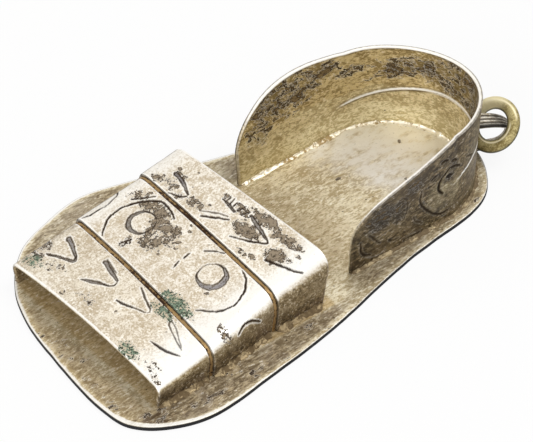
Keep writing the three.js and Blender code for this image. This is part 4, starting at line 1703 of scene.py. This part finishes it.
@dataclass
class Eye(Part):
    """Ribbed ribbon bent over at the heel's back."""

    name, node, slot, finish = "eye", "hanging_eye", Slot.DARK_SILVER, EYE_SILVER
    counter: Counter
    width: float = 2.15
    arm_width: float = 1.15
    ribbon: float = 0.39
    reach: float = 4.65
    top: float = 3.65
    nose: float = 1.7
    arch_power: float = 2.25
    ribs: int = 4
    rib_depth: float = 0.1
    side_shift: float = 2.05
    turn: float = -24.25
    clearance: float = 0.65
    edge_radius: float = 0.1
    columns: int = 61

    def place(self, reach: Array, side: Array, height: Array) -> Array:
        """Points from a place along the eye, across it and above the sole.

        Args:
            reach: Distance out from the heel.
            side: Distance across, positive to the far side.
            height: Height above the sole.

        Returns:
            Points with a last axis of 3.
        """
        root = self.counter.round_x + math.sqrt(self.counter.half_width**2 - self.side_shift**2)
        c, s = math.cos(math.radians(self.turn)), math.sin(math.radians(self.turn))
        x, y = root + reach * c - side * s, -self.side_shift + reach * s + side * c
        return np.stack([x, y, SOLE_TOP + height], -1)

    def path(self) -> tuple[Array, Array, Array, Array]:
        """Side view: a quarter of a squarish ellipse to the nose, a quarter circle and a straight arm.

        Returns:
            Reach, height, and the outward direction's reach and height.
        """
        arch = self.top - self.nose
        power = self.arch_power
        turn = math.acos((self.clearance / self.reach) ** (power / 2)) * (1 - np.linspace(0, 1, 60))
        across, up = (np.clip(w, 0, 1) ** (2 / power) for w in (np.cos(turn), np.sin(turn)))
        bend = np.linspace(0, math.pi / 2, 25)[1:]
        reach = np.concatenate([
            self.reach * across, self.reach - self.nose * (1 - np.cos(bend)),
            np.linspace(self.reach - self.nose, self.clearance, 16)[1:],
        ])  # fmt: skip
        height = np.concatenate([self.nose + arch * up, self.nose * (1 - np.sin(bend)), np.zeros(15)])
        out_reach = np.concatenate([across ** (power - 1) / self.reach, np.cos(bend), np.zeros(15)])
        out_height = np.concatenate([up ** (power - 1) / arch, -np.sin(bend), -np.ones(15)])
        size = np.hypot(out_reach, out_height)
        return reach, height, out_reach / size, out_height / size

    def skin(self) -> Skin:
        """A closed sheet with ribs along it."""
        reach, height, out_reach, out_height = (w[:, None] for w in self.path())
        place = np.linspace(0, 1, len(reach))[:, None]
        across = np.linspace(0, 1, self.columns)[None, :]
        taper = smooth(0.0, 0.84, place)
        side = (self.width + (self.arm_width - self.width) * taper) * (across - 0.5)
        ribbed = smooth(0.86, 0.62, place)
        rib_turn = math.pi * self.ribs * across
        groove = self.rib_depth * ribbed * (np.cos(rib_turn) ** 2) ** 1.5
        edge = edge_drop(np.minimum(across, 1 - across) * self.width, self.edge_radius)

        def face(depth: Array) -> Array:
            """The ribbon's points at a depth under its smooth outer face."""
            return self.place(reach - out_reach * depth, side, height - out_height * depth)

        # Dark in the rib grooves; painted highlight on the rib crests near the root; painted shade along
        # the near edge and towards the nose.
        values = {
            "cut": 0.9 * ribbed * np.cos(rib_turn) ** 4,
            "polish": 0.4 * ribbed * np.sin(rib_turn) ** 8 * smooth(0.45, 0.2, place),
            "soot": 0.75 * np.maximum(smooth(0.2, 0.04, across), 0.7 * smooth(0.3, 0.5, place)),
        }
        return sheet_skin(above_sole(face(groove + edge), 0.0), face(self.ribbon - edge), values, {})


@dataclass
class JumpRing(Part):
    """Round wire closed into a ring, lying tilted in the eye."""

    name, node, slot, finish = "ring", "jump_ring", Slot.BRASS, BRASS
    body = Body.RING
    eye: Eye
    wire: float = 1.3
    inside: float = 3.1
    axis_turn: float = 185.0
    axis_rise: float = 46.4
    reach: float = 2.745
    side: float = -0.14
    height: float = 2.68
    steps: tuple[int, int] = (220, 56)

    def skin(self) -> Skin:
        """A torus with a very slight unevenness, with painted highlights along two ridges, painted shade
        at its sides and painted light on its far side.

        The ridges and the shade follow the angle from the side of the wire that faces up and out.
        """
        centre = self.eye.place(np.array(self.reach), np.array(self.side), np.array(self.height))
        turn, rise = math.radians(self.axis_turn), math.radians(self.axis_rise)
        axis = np.array([math.cos(rise) * math.cos(turn), math.cos(rise) * math.sin(turn), math.sin(rise)])
        first = np.cross([0.0, 0.0, 1.0], axis)
        first /= np.linalg.norm(first)
        second = np.cross(axis, first)
        turns = [np.linspace(0, 2 * math.pi, count, endpoint=False) for count in self.steps]
        around, about = np.meshgrid(*turns, indexing="ij")
        uneven = layered_noise(4 * np.cos(around), 4 * np.sin(around) + about, 1.7, 91)
        radius = self.wire / 2 - 0.01 - 0.012 * (1 + uneven)
        outwards = np.cos(around)[..., None] * first + np.sin(around)[..., None] * second
        out = (self.inside + self.wire) / 2 + radius * np.cos(about)
        points = centre + outwards * out[..., None] + axis * (radius * np.sin(about))[..., None]
        front = math.pi / 2 - 0.576 * np.cos(around) - 0.105 * np.sin(around)
        off = np.arctan2(np.sin(about - front), np.cos(about - front))
        low, high = smooth(0.75, 0.2, np.sin(around)), smooth(0.3, 0.8, np.sin(around))
        # Painted highlights along two ridges of the wire, painted light on the far side and painted shade
        # at the sides.
        inner_ridge = low * np.exp(-(((off - 0.65) / 0.16) ** 2))
        outer_ridge = 0.7 * high * np.exp(-(((off + 0.42) / 0.28) ** 2))
        shade = smooth(-0.6, -1.15, off) * (0.1 + 0.9 * low) + 0.85 * smooth(0.85, 1.15, off)
        values = {
            "ridge": np.maximum(inner_ridge, outer_ridge).ravel(),
            "pale": smooth(0.1, 0.9, -np.cos(around + 0.5)).ravel(),
            "shade": np.clip(shade, 0, 1).ravel(),
        }
        return Skin(points.reshape(-1, 3), grid_quads(*self.steps, True, True), values)


@dataclass
class Bead(Part):
    """A line of solder in the corner between a wall and what it stands on."""

    node = ""
    name: str
    line: Array
    outwards: Array
    wide: float
    tall: float
    finish: Solder
    slot: Slot
    seed: int
    lumps: float
    shade: float = 0.5

    def skin(self) -> Skin:
        """Sweeps a hollow fillet along the line, its height (1 − t)² over its width uneven by noise."""
        run = np.cumsum(np.linalg.norm(np.diff(self.line, axis=0, prepend=self.line[:1]), axis=1))
        still = np.zeros_like(run)
        uneven = 1 + self.lumps * layered_noise(run, still, 0.9, self.seed)
        uneven += 0.3 * value_noise(run, still, 0.3, self.seed + 3)
        size = np.maximum(uneven * (0.3 + 0.7 * band(run, 0, 0.5, run[-1] - 0.5, run[-1])), 0.15)
        t = np.linspace(0, 1, 11)
        out = np.concatenate([[-2 * SOLDER_SINK], t * self.wide, [self.wide]])
        up = np.concatenate([[-SOLDER_SINK], (1 - t) ** 2 * self.tall, [-SOLDER_SINK]])
        rings = self.line[:, None, :] + self.outwards[:, None, :] * (out[None] * size[:, None])[..., None]
        lumpy = 1 + 0.35 * value_noise(*np.meshgrid(run, out, indexing="ij"), 0.25, self.seed + 7)
        rings[..., 2] += np.where(up[None] > 0, up[None] * size[:, None] * lumpy, up[None])
        dirt = self.shade + 0.3 * value_noise(run, still, 0.7, self.seed + 5)
        return tube_skin(rings, {"shade": np.broadcast_to(dirt[:, None], rings.shape[:2])})


def solder_lines(counter: Counter, straps: Sequence[Strap]) -> list[Bead]:
    """Solder round the counter, inside and outside, and at the straps' feet.

    Args:
        counter: The heel counter.
        straps: The three straps.

    Returns:
        The beads, not built yet.
    """
    run = np.arange(0.1, counter.total - 0.1, 0.1)
    x, y, out_x, out_y = counter.plan(run)
    out = np.stack([out_x, out_y, 0 * out_x], 1)
    foot = np.stack([x, y, np.full(len(x), SOLE_TOP - SOLDER_SINK)], 1)
    inner_foot = foot - out * SHEET
    low = (0.3, 0.2)
    beads = [
        Bead("solder_counter_inside", inner_foot, -out, *low, PALE_SOLDER, Slot.SILVER, 101, 0.9, 0.42),
        Bead("solder_counter_outside", foot, out, *low, DIM_SOLDER, Slot.DARK_SILVER, 111, 0.3, 0.6),
    ]
    share = np.linspace(0.01, 0.99, 70)
    for strap in straps:
        for side, place, way in (("near", 0.0, -1.0), ("far", 5.0, 1.0)):
            line = strap.outer_face(share, np.full(len(share), place))
            line[:, 2] = SOLE_TOP - SOLDER_SINK
            outwards = np.tile([0.0, way, 0.0], (len(share), 1))
            name, seed = f"solder_{strap.name}_{side}", 121 + strap.seed
            beads.append(Bead(name, line, outwards, 0.5, 0.35, FOOT_SOLDER, Slot.SILVER, seed, 0.3))
    return beads


# Studio


@dataclass
class Studio:
    """Camera, lamps, floor and surroundings."""

    target: Place = (2.6, 2.8, 0.0)
    azimuth: float = -39.05
    elevation: float = 41.84
    roll: float = -0.68
    distance: float = 300.0
    lens: float = 212.76
    key_power: float = 2.6
    front_power: float = 4.0
    fill_power: float = 0.5
    sky: float = 0.5
    floor_half: float = 3.0
    floor_drop: float = 0.00003

    def axes(self) -> tuple[Vector, Vector, Vector]:
        """The camera's right, up and backward directions."""
        a, e, r = (math.radians(x) for x in (self.azimuth, self.elevation, self.roll))
        back = Vector((math.sin(a) * math.cos(e), -math.cos(a) * math.cos(e), math.sin(e)))
        right = Vector((math.cos(a), math.sin(a), 0.0))
        up = back.cross(right)
        return right * math.cos(r) + up * math.sin(r), up * math.cos(r) - right * math.sin(r), back

    def add_camera(self) -> None:
        """Puts the camera where the photograph was taken from."""
        right, up, back = self.axes()
        data = bpy.data.cameras.new("camera")
        data.lens, data.sensor_width, data.clip_start, data.clip_end = self.lens, 36.0, 0.01, 10.0
        camera = add_object("camera", data)
        turn = Matrix((right, up, back)).transposed().to_4x4()
        camera.matrix_world = Matrix.Translation((Vector(self.target) + back * self.distance) * MM) @ turn
        bpy.context.scene.camera = camera

    @staticmethod
    def add_lamp(name: str, direction: Place, power: float, size: float, away: float) -> None:
        """Adds a soft square lamp that faces the pendant.

        Args:
            name: Name of the lamp.
            direction: Where it stands, seen from the pendant.
            power: Its power in watts.
            size: Its side in metres.
            away: Its distance in metres.
        """
        data = bpy.data.lights.new(name, "AREA")
        data.energy, data.size = power, size
        lamp = add_object(name, data)
        way = Vector(direction).normalized()
        lamp.location = way * away
        lamp.rotation_mode = "QUATERNION"
        lamp.rotation_quaternion = way.to_track_quat("Z", "Y")

    def add_world(self) -> None:
        """Sets the surroundings."""
        surroundings = Surroundings("studio_world", self.sky)
        world = bpy.data.worlds.new(surroundings.name)
        bpy.context.scene.world = world
        surroundings.fill(world)

    def add_floor(self) -> None:
        """A wide pale floor just under the sole that shows white and keeps a light shadow."""
        mesh = bpy.data.meshes.new("floor")
        ways = ((-1, -1), (1, -1), (1, 1), (-1, 1))
        corners = [(x * self.floor_half, y * self.floor_half, -self.floor_drop) for x, y in ways]
        mesh.from_pydata(corners, [], [(0, 1, 2, 3)])
        mesh.materials.append(FloorPaint("floor_paint").material())
        add_object("floor", mesh)

    def build(self) -> None:
        """Sets up the whole studio."""
        bpy.context.scene.view_settings.view_transform = "Standard"
        self.add_camera()
        self.add_world()
        self.add_floor()
        self.add_lamp("key_lamp", (0.45, -0.15, 0.87), self.key_power, 0.45, 0.8)
        self.add_lamp("front_lamp", (-0.82, -0.34, 0.4), self.front_power, 0.6, 0.8)
        self.add_lamp("fill_lamp", (-0.3, 0.7, 0.7), self.fill_power, 0.6, 0.9)


def main() -> None:
    """Builds the studio and the pieces in order."""
    logging.basicConfig(level=logging.INFO, format="%(name)s: %(message)s")
    Studio().build()
    straps = [front_strap(), middle_strap(), rear_strap()]
    fills = (JointFill(*straps[:2], (-3.4, 1.0)), JointFill(*straps[1:], (-1.0, 6.6)))
    counter = Counter()
    eye = Eye(counter)
    for part in (Sole(), *straps, *fills, counter, eye, JumpRing(eye), *solder_lines(counter, straps)):
        part.build()


if __name__ == "__main__":
    main()
